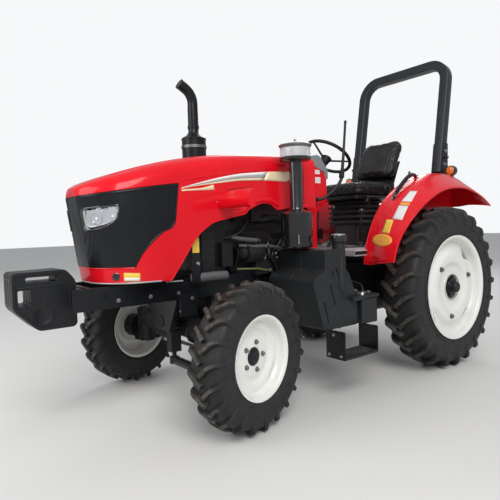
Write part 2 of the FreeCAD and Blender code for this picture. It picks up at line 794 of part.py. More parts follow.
# Engine: one plain block with its sump, head, cover, bell, pulley and feet on the rails
def engine():
    solids = [
        slab("gear_front", "engine_low + 130", "engine_l", "engine_w", "330"),
        slab("gear_front + 60", "engine_low", "engine_l - 140", "engine_w - 70", "131"),
        slab("gear_front + 40", "engine_low + 459", "engine_l - 90", "engine_w - 60", "120"),
        slab("gear_front + 70", "engine_low + 578", "engine_l - 150", "150",
             "engine_top - engine_low - 578"),
        slab("gear_front", "case_low + 60", "60", "gear_w + 80", "340"),
        prism("x", "engine_front - 1", "0", "engine_low + 190", "80", "46"),
    ]
    foot_w = "2 * (rail_y - rail_w - seat_gap)"
    solids.append(slab("engine_front - 50", "rail_low + 20", "40", foot_w, "70"))
    return fused(*solids)


node("engine", engine())


# What is bolted to the engine: injection pump, oil filter and alternator on the left, and
# the exhaust manifold on the right
def engine_fittings():
    side = "engine_w / 2 + seat_gap"
    pump = fused(
        box("gear_front + 250", side, "engine_low + 300", "230", "72", "96"),
        box("gear_front + 290", f"{side} + 16", "engine_low + 395", "150", "40", "42"),
        box("gear_front + 195", side, "engine_low + 312", "56", "56", "66"),
    )
    oil_filter = fused(
        prism("z", "gear_front + 190", f"{side} + 40", "engine_low + 165", "38", "120"),
        box("gear_front + 160", side, "engine_low + 284", "60", "72", "24"),
    )
    alternator = fused(
        prism("x", "engine_front - 150", f"{side} + 70", "engine_low + 440", "58", "120"),
        box("engine_front - 110", side, "engine_low + 390", "50", "60", "40"),
        prism("x", "engine_front - 31", f"{side} + 70", "engine_low + 440", "36", "36"),
    )
    manifold = slab("gear_front + 90", "engine_low + 480", "480", "60", "60",
                    "-(engine_w / 2) - seat_gap")
    return grouped(pump, oil_filter, alternator, manifold)


node("engine_fittings", engine_fittings())


# Radiator with its fan shroud, on the frame's floor
def radiator():
    core = slab("engine_front + 210", "rail_high", "90", "480", "470")
    shroud = slab("engine_front + 110", "rail_high + 20", "101", "400", "400")
    hole = prism("x", "engine_front + 100", "0", "rail_high + 220", "170", "80", 16)
    tank = slab("engine_front + 200", "rail_high + 469", "110", "440", "46")
    return fused(minus(shroud, hole), core, tank)


node("radiator", radiator())

# Bonnet: a sheet shell whose sections follow this table. Its tables and side outlines are
# drawn from BONNET_FROM to BONNET_TO, and along() fits them between the console and the frame.
BONNET_FROM, BONNET_TO = 950, 2505
# Columns: ahead of the rear axle, half width as a share, fall of the top, shoulder radius,
# how far the section's foot stands back
BONNET = [
    (BONNET_FROM, 0.98, 0, 85, 0),
    (1676, 1.00, 38, 95, 0),
    (2150, 0.99, 123, 100, 10),
    (2270, 0.94, 158, 100, 40),
    (2360, 0.845, 187, 95, 60),
    (2440, 0.65, 214, 85, 80),
    (2488, 0.42, 235, 65, 95),
    (BONNET_TO, 0.25, 245, 50, 100),
]
BONNET_LOW = 600
NOSE_FROM = 2400
FAR_AHEAD = 2700
SHOULDER_STEPS = (30, 60, 90)


def along(x):
    """Where a place on the drawn bonnet comes to stand."""
    share = (mm.nose_reach - mm.bonnet_back) / (BONNET_TO - BONNET_FROM)
    return mm.bonnet_back + (x - BONNET_FROM) * share


def bonnet_section(x, half, top, shoulder, lean):
    """A section from the left side's foot over the top to the right."""
    left = [(x - lean, half, BONNET_LOW), (x, half, top - shoulder)]
    for degrees in SHOULDER_STEPS:
        turn = math.radians(degrees)
        out = half - shoulder * (1 - math.cos(turn))
        left.append((x, out, top - shoulder * (1 - math.sin(turn))))
    return left + [(x, -y, z) for x, y, z in left[::-1]]


def bonnet_form(inset):
    """The bonnet's outer form, or its hollow where it is inset."""
    rings = []
    for x, share, fall, shoulder, lean in BONNET:
        half = share * mm.bonnet_w / 2 - inset
        top = mm.bonnet_high - fall - inset
        shift = inset if x > NOSE_FROM else 0
        rings.append(bonnet_section(along(x) - shift, half, top, shoulder - inset, lean))
    return skinned(rings, end=banded_end)


def side_cut(points):
    """A slab through the whole width from a side outline."""
    wide = mm.bonnet_w
    face = Part.Face(polygon([(along(x), -wide, z) for x, z in points]))
    return face.extrude(VEC(0, 2 * wide, 0))


LOWER_EDGE = [
    (1180, 1190),
    (1295, 1178),
    (1318, 1188),
    (1362, 1214),
    (1420, 1219),
    (1470, 1207),
    (1534, 1178),
    (1567, 1152),
    (1640, 1137),
    (1716, 1123),
    (1786, 1107),
    (1830, 1086),
    (1912, 1024),
    (2079, 799),
    (2090, 797),
    (FAR_AHEAD, 797),
]
REAR_EDGE_Z = 1195
MASK_EDGE = [
    (2017, 1326),
    (2032, 1211),
    (2052, 1100),
    (2112, 1067),
    (2165, 1028),
    (2205, 988),
    (2243, 942),
    (2276, 880),
    (FAR_AHEAD, 880),
    (FAR_AHEAD, 1250),
    (2508, 1262),
    (2309, 1287),
]
LAMP_EDGE = [
    (2345, 1211),
    (2342, 1180),
    (2359, 1127),
    (2394, 1096),
    (2441, 1083),
    (2490, 1075),
    (2490, 1196),
    (2419, 1207),
]
LAMP_DEEP = 30


def grown(points, by):
    """The same outline, moved outwards from its middle."""
    centre = (sum(p[0] for p in points) / len(points), sum(p[1] for p in points) / len(points))
    result = []
    for x, z in points:
        reach = math.hypot(x - centre[0], z - centre[1])
        share = (reach + by) / reach
        result.append((centre[0] + (x - centre[0]) * share, centre[1] + (z - centre[1]) * share))
    return result


bonnet_outer = bonnet_form(0)
behind = BONNET_FROM - 60
under = side_cut([(behind, REAR_EDGE_Z), *LOWER_EDGE, (FAR_AHEAD, 500), (behind, 500)])
bonnet_shell = bonnet_outer.cut([bonnet_form(mm.bonnet_wall), under])
node("bonnet", feature(bonnet_shell.cut(side_cut(grown(MASK_EDGE, mm.mask_gap)))))
mask = bonnet_shell.common(side_cut(MASK_EDGE)).cut(side_cut(grown(LAMP_EDGE, mm.mask_gap)))
node("grille_mask", feature(mask))
lamps = bonnet_outer.cut(bonnet_form(LAMP_DEEP)).common(side_cut(LAMP_EDGE))
node("headlamps", feature(lamps))


# Exhaust: muffler and a pipe with its end turned forward, on the right of the bonnet
def exhaust():
    x, y = mm.gear_front + 525, -(mm.bonnet_w / 2 + mm.muffler_r + mm.run_gap)
    r, big, top = mm.stack_r, mm.muffler_r, mm.bonnet_high
    can = [(top - 215, big), (top + 184, big), (top + 205, big - 22)]
    table = [(top - 461, r), (top - 275, r), *can, (top + 205, r), (top + 409, r)]
    stack = turned_form((x, y, 0), (0, 0, 1), table, 12)
    flange = -(mm.engine_w / 2 + 30 + 2 * mm.seat_gap)
    port_z = mm.engine_low + 510
    elbow = bent_bar([(x, flange, port_z), (x, y, port_z), (x, y, top - 451)], r - 1, 8)
    start, corner, mouth = (x, y, top + 399), (x, y, top + 484), (x + 106, y, top + 559)
    end = bent_bar([start, *arc_points(start, corner, mouth, 90, 2), mouth], r - 1, 10)
    return stack.fuse([elbow, end])


node("exhaust", feature(exhaust()))

# Air cleaner: canister on an arm from the engine's head, intake pipe and the bowl on top
cleaner_x = mm.gear_front + 300
cleaner_y = mm.bonnet_w / 2 + mm.cleaner_r + mm.run_gap
cleaner_top = mm.bonnet_high - 81
INTAKE_R = 36


def air_cleaner():
    r, low = mm.cleaner_r, mm.deck_z + 30
    can = [(low, r), (low + 223, r), (low + 233, r - 12)]
    table = [*can, (low + 233, INTAKE_R), (cleaner_top, INTAKE_R)]
    canister = turned_form((cleaner_x, cleaner_y, 0), (0, 0, 1), table, 14)
    head = (mm.engine_w - 60) / 2 + mm.seat_gap
    arm_z = (mm.engine_low + 520, mm.engine_low + 565)
    arm = block((cleaner_x - 30, cleaner_x + 30), (head, cleaner_y), arm_z)
    return canister.fuse(arm)


def pre_cleaner():
    dish = [(0, 40), (22, 92), (28, 92)]
    table = [*dish, (28, 84), (102, 84), (102, 103), (112, 103), (126, 60)]
    start = cleaner_top + mm.seat_gap
    return turned_form((cleaner_x, cleaner_y, start), (0, 0, 1), table, 16)


node("air_cleaner", feature(air_cleaner()))
node("pre_cleaner", feature(pre_cleaner()))


# Transmission: differential case, gearbox, front drive box and the lift housing, whose side
# walls carry the lift shaft
LIFT_BACK, LIFT_FRONT = -200, -20
SHAFT_R = 32
shaft_hole_r = (SHAFT_R + mm.seat_gap) * CORNER_SHARE


def transmission():
    rear = slab("-case_back", "case_low", "2 * case_back", "case_w", "case_high - case_low")
    gears = slab("0", "case_low + 40", "gear_front", "gear_w", "case_high - case_low - 60")
    lift = slab(f"{LIFT_BACK}", "case_high - 1", f"{LIFT_FRONT - LIFT_BACK}", "lift_w",
                "lift_z + 50 - case_high")
    drop = slab("360", "case_low - 60", "300", "170", "101", f"{CASING_Y} + 60")
    hole = prism("y", "link_x", "-lift_w", "lift_z", f"{shaft_hole_r}", "2 * lift_w")
    return minus(fused(rear, gears, lift, drop), hole)


node("transmission_case", transmission())


def axle_tube(sign, grown_by=0):
    start = mm.case_w / 2
    inside = mm.rear_rim_w / 2 - mm.rear_dish_in - mm.rim_wall - HUB_FLANGE
    end = mm.rear_track_y + inside - mm.seat_gap
    r, wide = mm.trumpet_r + grown_by, 150 + grown_by
    table = [(start, wide), (start + 110, wide), (start + 110, r + 36), (end - 40, r), (end, r)]
    return turned_form((0, 0, mm.rear_axle_z), (0, sign, 0), table, 14)


node("rear_axle_tubes", feature(Part.makeCompound([axle_tube(1), axle_tube(-1)])))


# Drive shaft from the front drive box to the front axle's nose. It slopes, so the corners of
# its ends need TILT_GAP to clear the faces that they meet.
TILT_GAP = 3.4


def drive_shaft():
    start = VEC(660 + TILT_GAP, CASING_Y, mm.case_low - 22)
    end = VEC(mm.wheelbase - NOSE_BACK - TILT_GAP, CASING_Y, mm.beam_z)
    length = (end - start).Length
    table = [(0, 34), (60, 34), (60, 22), (length - 60, 22), (length - 60, 34), (length, 34)]
    return turned_form(start, end - start, table, 10)


node("front_drive_shaft", feature(drive_shaft()))

# Fenders: an arched sheet over each rear wheel with a crown that slopes outwards
# Columns: degrees up from straight ahead, outer edge radius, crown radius, both from the axle
FENDER = [
    (17, 808, 700),
    (27, 801, 722),
    (37, 774, 742),
    (48, 747, 765),
    (60, 732, 785),
    (72, 728, 803),
    (84, 728, 832),
    (98, 735, 868),
    (110, 745, 900),
    (119, 758, 908),
    (125, 767, 868),
    (129.5, 773, 778),
]
# Columns of a section: share of the width outwards, share of the way from the crown to the
# outer edge, how far it stands over that
FENDER_SECTION = [(0, 0, -10), (0.21, 0, 0), (0.58, 0.45, 14), (1, 1, 0)]


def around_axle(radius, degrees):
    """A spot ahead of and above the rear axle."""
    angle = math.radians(degrees)
    return radius * math.cos(angle), mm.rear_axle_z + radius * math.sin(angle)


def fender(sign):
    """A sheet from an upright inner side over its crown to its outer edge."""
    wall, width = mm.fender_wall, mm.fender_out - mm.fender_in
    sections, side = [], []
    for degrees, outer_r, crown_r in FENDER:
        over = [
            (crown_r + (outer_r - crown_r) * down + rise, mm.fender_in + out * width)
            for out, down, rise in FENDER_SECTION
        ]
        under = [(r - wall, y) for r, y in over[::-1]]
        ring = []
        for r, y in over + under:
            x, z = around_axle(r, degrees)
            ring.append((x, sign * y, z))
        sections.append(ring)
        side.append(around_axle(over[0][0] - wall / 2, degrees))
    deck = mm.deck_z - mm.deck_h
    side += [(-420, 1150), (0, 930), (300, deck - 20), (628, deck - 78)]
    inner = Part.Face(polygon([(x, sign * mm.fender_in, z) for x, z in side]))
    sheet = skinned(sections, short_fold=True)
    return sheet.fuse(inner.extrude(VEC(0, sign * wall, 0)))


fenders = {sign: fender(sign) for sign in OTHER_SIDE.values()}
for side, sign in OTHER_SIDE.items():
    node(f"fender_{side}", feature(fenders[sign]))


def on_fender(shape, sign):
    """What is left of a shape above the fender's sheet."""
    sheet = fenders[sign].copy()
    sheet.translate(VEC(0, 0, mm.seat_gap))
    return max(shape.cut(sheet).Solids, key=lambda solid: solid.Volume)


# Platform: wide ahead of the fenders, narrow between them, on four feet
def platform():
    wide, narrow, middle = "deck_w / 2", "fender_in - seat_gap", "225"
    back, fenders, front, far = "-10", "785", "905", "bonnet_back - 10"
    right = [
        (back, f"-({narrow})"),
        (fenders, f"-({narrow})"),
        (fenders, f"-({wide})"),
        (front, f"-({wide})"),
        (front, f"-{middle}"),
        (far, f"-{middle}"),
    ]
    left = [
        (far, middle),
        (front, middle),
        (front, wide),
        (fenders, wide),
        (fenders, narrow),
        (back, narrow),
    ]
    deck = plate("z", [*right, *left], "deck_z - deck_h", "deck_z")
    under = "deck_z - deck_h + 1"
    feet = slab("500", "case_high - 20", "60", "gear_w - 40", f"{under} - (case_high - 20)")
    feet_back = slab("110", "case_high", "60", "gear_w - 40", f"{under} - case_high")
    return fused(deck, feet, feet_back)


node("platform", platform())

# Fuel tank on the left of the engine, with its filler pipe. It is drawn from TANK_FROM to
# TANK_TO, and tank_x() fits it in behind the front wheel.
TANK_FROM, TANK_TO = 938, 1332
TANK_EDGE = [
    (TANK_TO, 720),
    (1310, 650),
    (1252, 455),
    (1234, 438),
    (952, 438),
    (TANK_FROM, 454),
    (TANK_FROM, 600),
    (1022, 778),
    (1056, 802),
    (1068, 850),
    (1068, 925),
    (1222, 925),
    (1230, 915),
    (1232, 790),
    (1300, 775),
    (1328, 750),
]
TANK_INNER = 235
NECK_X, NECK_R, NECK_TOP = 1060, 38, 1012


def tank_x(x):
    return TANK_FROM + (x - TANK_FROM) * (mm.tank_front - TANK_FROM) / (TANK_TO - TANK_FROM)


def fuel_tank():
    face = Part.Face(polygon([(tank_x(x), TANK_INNER, z) for x, z in TANK_EDGE]))
    tank = face.extrude(VEC(0, mm.tank_y - TANK_INNER, 0))
    cap_r, cap_low = NECK_R + 12, NECK_TOP - 44
    table = [(900, NECK_R), (cap_low, NECK_R), (cap_low, cap_r), (NECK_TOP, cap_r)]
    x, y = tank_x(NECK_X), mm.tank_y - 40
    neck = turned_form((x, y, 0), (0, 0, 1), table, 12)
    pipe = bar_between((x, y + 5, 950), (tank_x(NECK_X + 23), mm.tank_y - 8, 690), NECK_R - 4, 10)
    strap_z = (mm.engine_low + 135, mm.engine_low + 175)
    strap_y = (mm.engine_w / 2 + mm.seat_gap, TANK_INNER + 2)
    strap = block((tank_x(1010), tank_x(1070)), strap_y, strap_z)
    return tank.fuse([neck, pipe, strap])


node("fuel_tank", feature(fuel_tank()))


# Battery box behind the tank, on a bracket from the gearbox
BOX_LOW = 435


def battery_box():
    case = slab("772", f"{BOX_LOW}", "153", "236", "165", "tank_y - 92")
    lid = slab("764", f"{BOX_LOW + 164}", "168", "262", "22", "tank_y - 88")
    lip = box("931", "tank_y + 8", f"{BOX_LOW + 158}", "90", "35", "28")
    near, far = "gear_w / 2 + seat_gap", "tank_y - 209"
    arm = box("800", near, "520", "80", f"{far} - ({near})", "40")
    return fused(case, lid, lip, arm)


# Step: a side plate under the battery box and one under the tank, and the tread between them
STEP_BACK, STEP_FRONT, STEP_LOW = 880, 1186, 266


def step():
    tank_low = min(z for x, z in TANK_EDGE)
    plates = [
        slab(f"{x}", f"{STEP_LOW}", "8", "150", f"{high - STEP_LOW} - seat_gap", "tank_y + 36")
        for x, high in ((STEP_BACK, BOX_LOW), (STEP_FRONT, tank_low))
    ]
    length = f"{STEP_FRONT - STEP_BACK + 8}"
    tread = slab(f"{STEP_BACK}", f"{STEP_LOW}", length, "150", "20", "tank_y + 36")
    return fused(*plates, tread)


node("battery_box", battery_box())
node("boarding_step", step())


# Console behind the bonnet: cowl, with two ears that the bonnet hinges on
def console():
    back = "bonnet_back - 10"
    outline = [
        (back, "deck_z + seat_gap"),
        (back, "bonnet_high - 6"),
        ("bonnet_back - 50", "bonnet_high + 9"),
        ("wheel_x + 208", "wheel_z - 140"),
        ("wheel_x + 203", "wheel_z - 310"),
        ("850", "1160"),
        ("850", "deck_z + seat_gap"),
    ]
    cowl = plate("y", outline, "-210", "210")
    top = "bonnet_high - bonnet_wall - 3 * seat_gap"
    ears = [slab(f"{back} - 1", f"{top} - 60", "21", "30", "60", y) for y in ("-120", "120")]
    return fused(cowl, *ears)


console_body = node("console", console())
doc.recompute()

TILT = math.radians(mm.wheel_tilt)
hub_spot = VEC(mm.wheel_x, 0, mm.wheel_z)
up = VEC(-math.sin(TILT), 0, math.cos(TILT))
COLUMN_L = 420


def steering_column():
    """The column, cut off where it meets the console."""
    table = [(-COLUMN_L, 26), (-mm.seat_gap, 26)]
    column = turned_form(hub_spot, up, table, 12)
    seat = console_body.Shape.copy()
    seat.translate(VEC(-mm.axle_x - mm.seat_gap, 0, 0))
    return column.cut(seat)


node("steering_column", feature(steering_column()))

GRIP_R = 13
WHEEL_UP = 60


def steering_wheel():
    side = VEC(0, 1, 0)
    ahead = up.cross(side)
    steps = [math.pi * (k + 0.5) / 2 for k in range(4)]
    rings = []
    for k in range(20):
        step = 2 * math.pi * k / 20
        out = ahead * math.cos(step) + side * math.sin(step)
        middle = hub_spot + up * WHEEL_UP + out * (mm.wheel_r - GRIP_R)
        rings.append([middle + (out * math.cos(a) + up * math.sin(a)) * GRIP_R for a in steps])
    hub = turned_form(hub_spot, up, [(0, 30), (40, 44)], 10)
    spokes = []
    for k in range(3):
        angle = math.radians(120 * k)
        way = ahead * math.cos(angle) + side * math.sin(angle)
        start = hub_spot + up * 26 + way * 20
        spokes.append(
            bar_between(start, hub_spot + up * WHEEL_UP + way * (mm.wheel_r - GRIP_R), 8, 5)
        )
    return hub.multiFuse([skinned(rings, closed=True), *spokes])


node("steering_wheel", feature(steering_wheel()))

# Seat: sprung base with a back plate, cushion and backrest
SEAT_L = 490
BACK_LEAN = [(0, 0), (80, 0), (-95, 345), (-165, 345)]


PLEATS = 5


def bellows():
    """The pleated cover over the seat's spring."""
    low, high = mm.deck_z + mm.seat_gap, mm.seat_z - 128
    foot = low + 0.45 * (high - low)
    levels = [(low, 138), (foot, 138)]
    for k in range(2 * PLEATS + 1):
        half = (148, 172)[k % 2]
        levels.append((foot + 2 + (high - foot - 2) * k / (2 * PLEATS), half))
    corners = ((1, 1), (-1, 1), (-1, -1), (1, -1))
    return skinned([[(mm.seat_x + a * h, b * h, z) for a, b in corners] for z, h in levels])


def seat_base():
    low = "seat_z - 100"
    spring = feature(bellows())
    pan = slab(f"seat_x - {SEAT_L / 2} - 72", f"{low} - 31", f"{SEAT_L} - 20", "seat_w - 60", "31")
    back_x = f"seat_x - {SEAT_L / 2} - 60"
    outline = [
        (f"{back_x} - 12", f"{low} - 20"),
        (f"{back_x} - 0.4", f"{low} - 20"),
        (f"{back_x} - 0.4", "seat_z + 10"),
        (f"{back_x} - 120", "seat_z + 260"),
        (f"{back_x} - 132", "seat_z + 260"),
        (f"{back_x} - 12", "seat_z + 10"),
    ]
    back = plate("y", outline, "-seat_w / 2 + 60", "seat_w / 2 - 60")
    return fused(spring, pan, back)


def seat_cushion():
    x = f"seat_x - {SEAT_L / 2}"
    flat = slab(x, "seat_z - 100 + seat_gap", f"{SEAT_L}", "seat_w", "100")
    roll = slab(x, "seat_z - 60", "60", "seat_w", "70")
    return fused(flat, roll)


def seat_backrest():
    start_x = mm.seat_x - SEAT_L / 2 - 60
    start_z = mm.seat_z + 10 + mm.seat_gap
    half = mm.seat_w / 2 - 20
    outline = [(start_x + x, -half, start_z + z) for x, z in BACK_LEAN]
    return Part.Face(polygon(outline)).extrude(VEC(0, 2 * half, 0))


node("seat_base", seat_base())
node("seat_cushion", seat_cushion())
node("seat_backrest", feature(seat_backrest()))

# Roll-over hoop: one bent square tube, whose posts stand in sockets on brackets that rise
# from the rear axle's tubes
CHEEK = 8
SOCKET_TOP = 240
hoop_top_x = mm.hoop_foot_x - mm.hoop_lean
hoop_top_z = mm.hoop_top - mm.hoop_w / 2


def post_x(z):
    """Where the middle of a post stands at a height."""
    share = (z - mm.hoop_foot_z) / (hoop_top_z - mm.hoop_foot_z)
    return mm.hoop_foot_x - mm.hoop_lean * share


def hoop():
    y = mm.hoop_y
    low = (post_x(mm.hoop_foot_z), -y, mm.hoop_foot_z)
    corner, other = (hoop_top_x, -y, hoop_top_z), (hoop_top_x, y, hoop_top_z)
    points = [low, *arc_points(low, corner, other, mm.hoop_bend, 4)]
    points += [(p.x, -p.y, p.z) for p in points[:0:-1]] + [(low[0], y, low[2])]
    return bent_bar(points, mm.hoop_w / math.sqrt(2), 4)


def hoop_bracket(sign):
    """Column on the axle tube, with a cheek plate on each side of the post."""
    half, foot, low = mm.hoop_w / 2, mm.hoop_foot_x, mm.hoop_foot_z
    top = low - 0.1 * mm.hoop_w - mm.seat_gap
    outline = [
        (-70, mm.rear_axle_z),
        (70, mm.rear_axle_z),
        (foot + 120, 1250),
        (foot + half + 8, top),
        (foot - half - 8, top),
        (foot - 120, 1250),
    ]
    column = Part.Face(polygon([(x, sign * (mm.hoop_y - half), z) for x, z in outline]))
    column = column.extrude(VEC(0, sign * mm.hoop_w, 0)).cut(axle_tube(sign, mm.seat_gap))
    high = low + SOCKET_TOP
    cheek = [
        (foot + 60, 1300),
        (post_x(high) + half - 6, high),
        (post_x(high) - half + 6, high),
        (foot - 60, 1300),
    ]
    solids = []
    for y in (mm.hoop_y - half - mm.seat_gap - CHEEK, mm.hoop_y + half + mm.seat_gap):
        face = Part.Face(polygon([(x, sign * y, z) for x, z in cheek]))
        solids.append(face.extrude(VEC(0, sign * CHEEK, 0)))
    spacer_y = (mm.hoop_y - half - mm.seat_gap, mm.hoop_y + half + mm.seat_gap)
    spacer = block((foot - 40, foot + 40), sorted(sign * y for y in spacer_y), (1310, 1420))
    return column.multiFuse([*solids, spacer])


node("rollover_hoop", feature(hoop()))
node("hoop_brackets", feature(Part.makeCompound([hoop_bracket(1), hoop_bracket(-1)])))

# Rear linkage: two lower links, the lift shaft with its arms, a rod from each arm to its
# link, and the top link. The arms and the links are equally long from pivot to rod, so the
# rods stay upright while they rise.
link_start = VEC(mm.link_x, mm.link_root_y, mm.link_z)
link_end = VEC(-mm.rear_reach + mm.ball_r, mm.link_y, mm.link_z)
link_way = (link_end - link_start).normalize()
EYE_R, PIN_EYE_HALF, LINK_R = 28, 18, 17
link_rise = (mm.link_y - mm.link_root_y) / (link_start.x - link_end.x)
rod_foot_y = mm.link_root_y + link_rise * mm.lift_reach
rod_y = rod_foot_y + LINK_R + PIN_EYE_HALF
ROD_EYE_HALF, ARM_HALF = 16, 11
arm_y = rod_y - ROD_EYE_HALF - ARM_HALF - mm.seat_gap
rod_top_x = mm.link_x - mm.lift_reach


def across(spot, half, radius, sides=10):
    """A round boss that lies across the tractor."""
    return turned_form(spot, (0, 1, 0), [(-half, radius), (half, radius)], sides)


def lower_link(sign):
    """Bar with a pivot eye at the front and a ball end."""
    bar = bar_between(link_start + link_way * 20, link_end - link_way * 20, LINK_R)
    hole = Part.makeCylinder(mm.ball_bore_r, 120, link_end - VEC(0, 60, 0), VEC(0, 1, 0))
    ends = [across(link_start, PIN_EYE_HALF, EYE_R), across(link_end, 20, mm.ball_r)]
    whole = bar.multiFuse(ends).cut(hole)
    return whole if sign > 0 else other_side(whole)


def lift_arms():
    """Cross shaft in the lift housing with an arm at each end."""
    shaft = across((mm.link_x, 0, mm.lift_z), arm_y + 15, SHAFT_R)
    solids = []
    for sign in (1, -1):
        y = sign * arm_y
        solids.append(block((rod_top_x, mm.link_x), (y - ARM_HALF, y + ARM_HALF), (mm.lift_z - 22, mm.lift_z + 22)))
        solids.append(across((mm.link_x, y, mm.lift_z), 15, 46))
        solids.append(across((rod_top_x, y, mm.lift_z), ARM_HALF, 24))
    return shaft.multiFuse(solids)


def lift_rod(sign):
    """Upright rod beside the arm's end and beside the link."""
    spot = (rod_top_x, sign * rod_y, mm.link_z)
    table = [(0, 13), (120, 13), (120, 19), (320, 19), (320, 13), (mm.lift_z - mm.link_z, 13)]
    bar = turned_form(spot, (0, 0, 1), table, 6)
    eyes = [across((rod_top_x, sign * rod_y, z), ROD_EYE_HALF, 22, 8) for z in (mm.link_z, mm.lift_z)]
    return bar.multiFuse(eyes)


for side, sign in OTHER_SIDE.items():
    node(f"lower_link_{side}", feature(lower_link(sign)))
node("lift_rods", feature(Part.makeCompound([lift_rod(1), lift_rod(-1)])))
node("lift_arms", feature(lift_arms()))

TOP_EYE_HALF, TOP_EYE_R = 19, 26
top_root = VEC(-mm.case_back - 30, 0, mm.case_high - 40)
top_end = VEC(-mm.rear_reach + 60, 0, mm.case_high + 10)


def top_link():
    way = (top_end - top_root).normalize()
    rod_part = bar_between(top_root + way * 20, top_end - way * 20, 17)
    body = bar_between(top_root + way * 130, top_end - way * 130, 24)
    hole = Part.makeCylinder(mm.top_bore_r, 80, top_end - VEC(0, 40, 0), VEC(0, 1, 0))
    ends = [across(top_root, TOP_EYE_HALF, TOP_EYE_R), across(top_end, TOP_EYE_HALF, TOP_EYE_R)]
    return rod_part.multiFuse([body, *ends]).cut(hole)


node("top_link", feature(top_link()))


def linkage_mounts():
    """Pins on the case for the lower links, and the two ears that hold the top link."""
    solids = []
    for sign in (1, -1):
        reach = mm.link_root_y - mm.case_w / 2 - PIN_EYE_HALF - mm.seat_gap
        start = (mm.link_x, sign * (mm.case_w / 2 + mm.seat_gap), mm.link_z)
        solids.append(turned_form(start, (0, sign, 0), [(0, 22), (reach - mm.seat_gap, 22)], 12))
        near = TOP_EYE_HALF + mm.seat_gap
        y = sorted((sign * near, sign * (near + 24)))
        back = -mm.case_back - mm.seat_gap
        solids.append(block((back - 60, back), y, (mm.case_high - 75, mm.case_high - 5)))
    return Part.makeCompound(solids)


node("linkage_mounts", feature(linkage_mounts()))


# Drawbar under the case, held by two hangers, and the power take-off shaft
def drawbar():
    bar = minus(
        slab("-640", "case_low - 60", "850", "80", "30"),
        rod("z", "-600", "0", "case_low - 80", "drawbar_bore_r", "80"),
    )
    hangers = [
        slab(x, "case_low - 31", "60", "120", "31 - seat_gap") for x in ("-160", "130")
    ]
    return fused(bar, *hangers)


node("drawbar", drawbar())

pto = fused(
    rod("x", "-case_back - 90", "0", "case_low + 110", "pto_r", "77"),
    prism("x", "-case_back - 14 - seat_gap", "0", "case_low + 110", "60", "14"),
)
node("pto_shaft", pto)


# Grab rails on the fenders, lamps behind the posts, levers and pedals, and the folded
# mirror arm beside the console
# Columns: radius from the rear axle, degrees up from straight ahead, outwards of fender_in
GRAB_RAIL = [(745, 57, 91), (800, 64, 88), (850, 72, 80), (850, 79, 70), (790, 82, 56)]


def grab_rail(sign):
    points = []
    for r, degrees, out in GRAB_RAIL:
        x, z = around_axle(r, degrees)
        points.append((x, sign * (mm.fender_in + out), z))
    return on_fender(bent_bar(points, 11, 6), sign)


def rear_lamp(sign):
    x, z = around_axle(890, 117)
    y = sign * (mm.fender_in + 55)
    foot = block((x - 12, x + 12), (y - 12, y + 12), (z - 20, z + 70))
    lamp = turned_form((x - 30, y, z + 100), (1, 0, 0), [(0, 34), (14, 42), (60, 42)], 10)
    return on_fender(foot, sign).fuse(lamp)


node("grab_rails", feature(Part.makeCompound([grab_rail(1), grab_rail(-1)])))
node("rear_lamps", feature(Part.makeCompound([rear_lamp(1), rear_lamp(-1)])))

# Columns: foot x, foot y, top x, top y, top z
LEVERS = [
    (560, 70, 520, 70, 1190),
    (420, -250, 400, -260, 1330),
    (360, -250, 330, -260, 1310),
    (420, 250, 410, 255, 1160),
]
PEDALS = (130, -110, -165)
PEDAL_Z = 1010
LEVER_R = 8


def control_levers():
    solids = []
    for x, y, top_x, top_y, top_z in LEVERS:
        lean = math.hypot(top_x - x, top_y - y) / (top_z - mm.deck_z)
        foot = mm.deck_z + mm.seat_gap + LEVER_R * lean
        stick = bar_between((x, y, foot), (top_x, top_y, top_z), LEVER_R, 6)
        knob = turned_form((top_x, top_y, top_z - 10), (0, 0, 1), [(0, 14), (22, 21), (44, 12)], 6)
        solids.append(stick.fuse(knob))
    face = 850 - mm.seat_gap
    for y in PEDALS:
        stalk = block((face - 120, face), (y - 7, y + 7), (PEDAL_Z, PEDAL_Z + 14))
        pad = block((face - 126, face - 119), (y - 24, y + 24), (PEDAL_Z - 40, PEDAL_Z + 40))
        solids.append(stalk.fuse(pad))
    return Part.makeCompound(solids)


node("control_levers", feature(control_levers()))


def mirror_arm():
    points = [(880, 210.3, 1250), (880, 240, 1250), (800, 300, 1290), (715, 330, 1390)]
    points.append((659, 330, 1801))
    return bent_bar(points, 12, 6)


node("mirror_arm", feature(mirror_arm()))


# Every object must have computed, and every piece must be whole, before any file is written
doc.recompute()
faults = []
for item in doc.Objects:
    if {"Invalid", "Error"} & set(item.State):
        faults.append(f"{item.Label}: {item.State}")
for item in NODES:
    if item.Shape.isNull() or not item.Shape.isValid() or not item.Shape.Solids:
        faults.append(f"{item.Label}: its shape isn't sound")
if faults:
    raise SystemExit("\n".join(faults))
os.makedirs("parts", exist_ok=True)
for item in NODES:
    item.Shape.exportStep(f"parts/{item.Label}.step")
print(f"{len(NODES)} pieces written")
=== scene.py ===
import json
import math

import bmesh
import bpy
from mathutils import Matrix, Vector
from mathutils.bvhtree import BVHTree


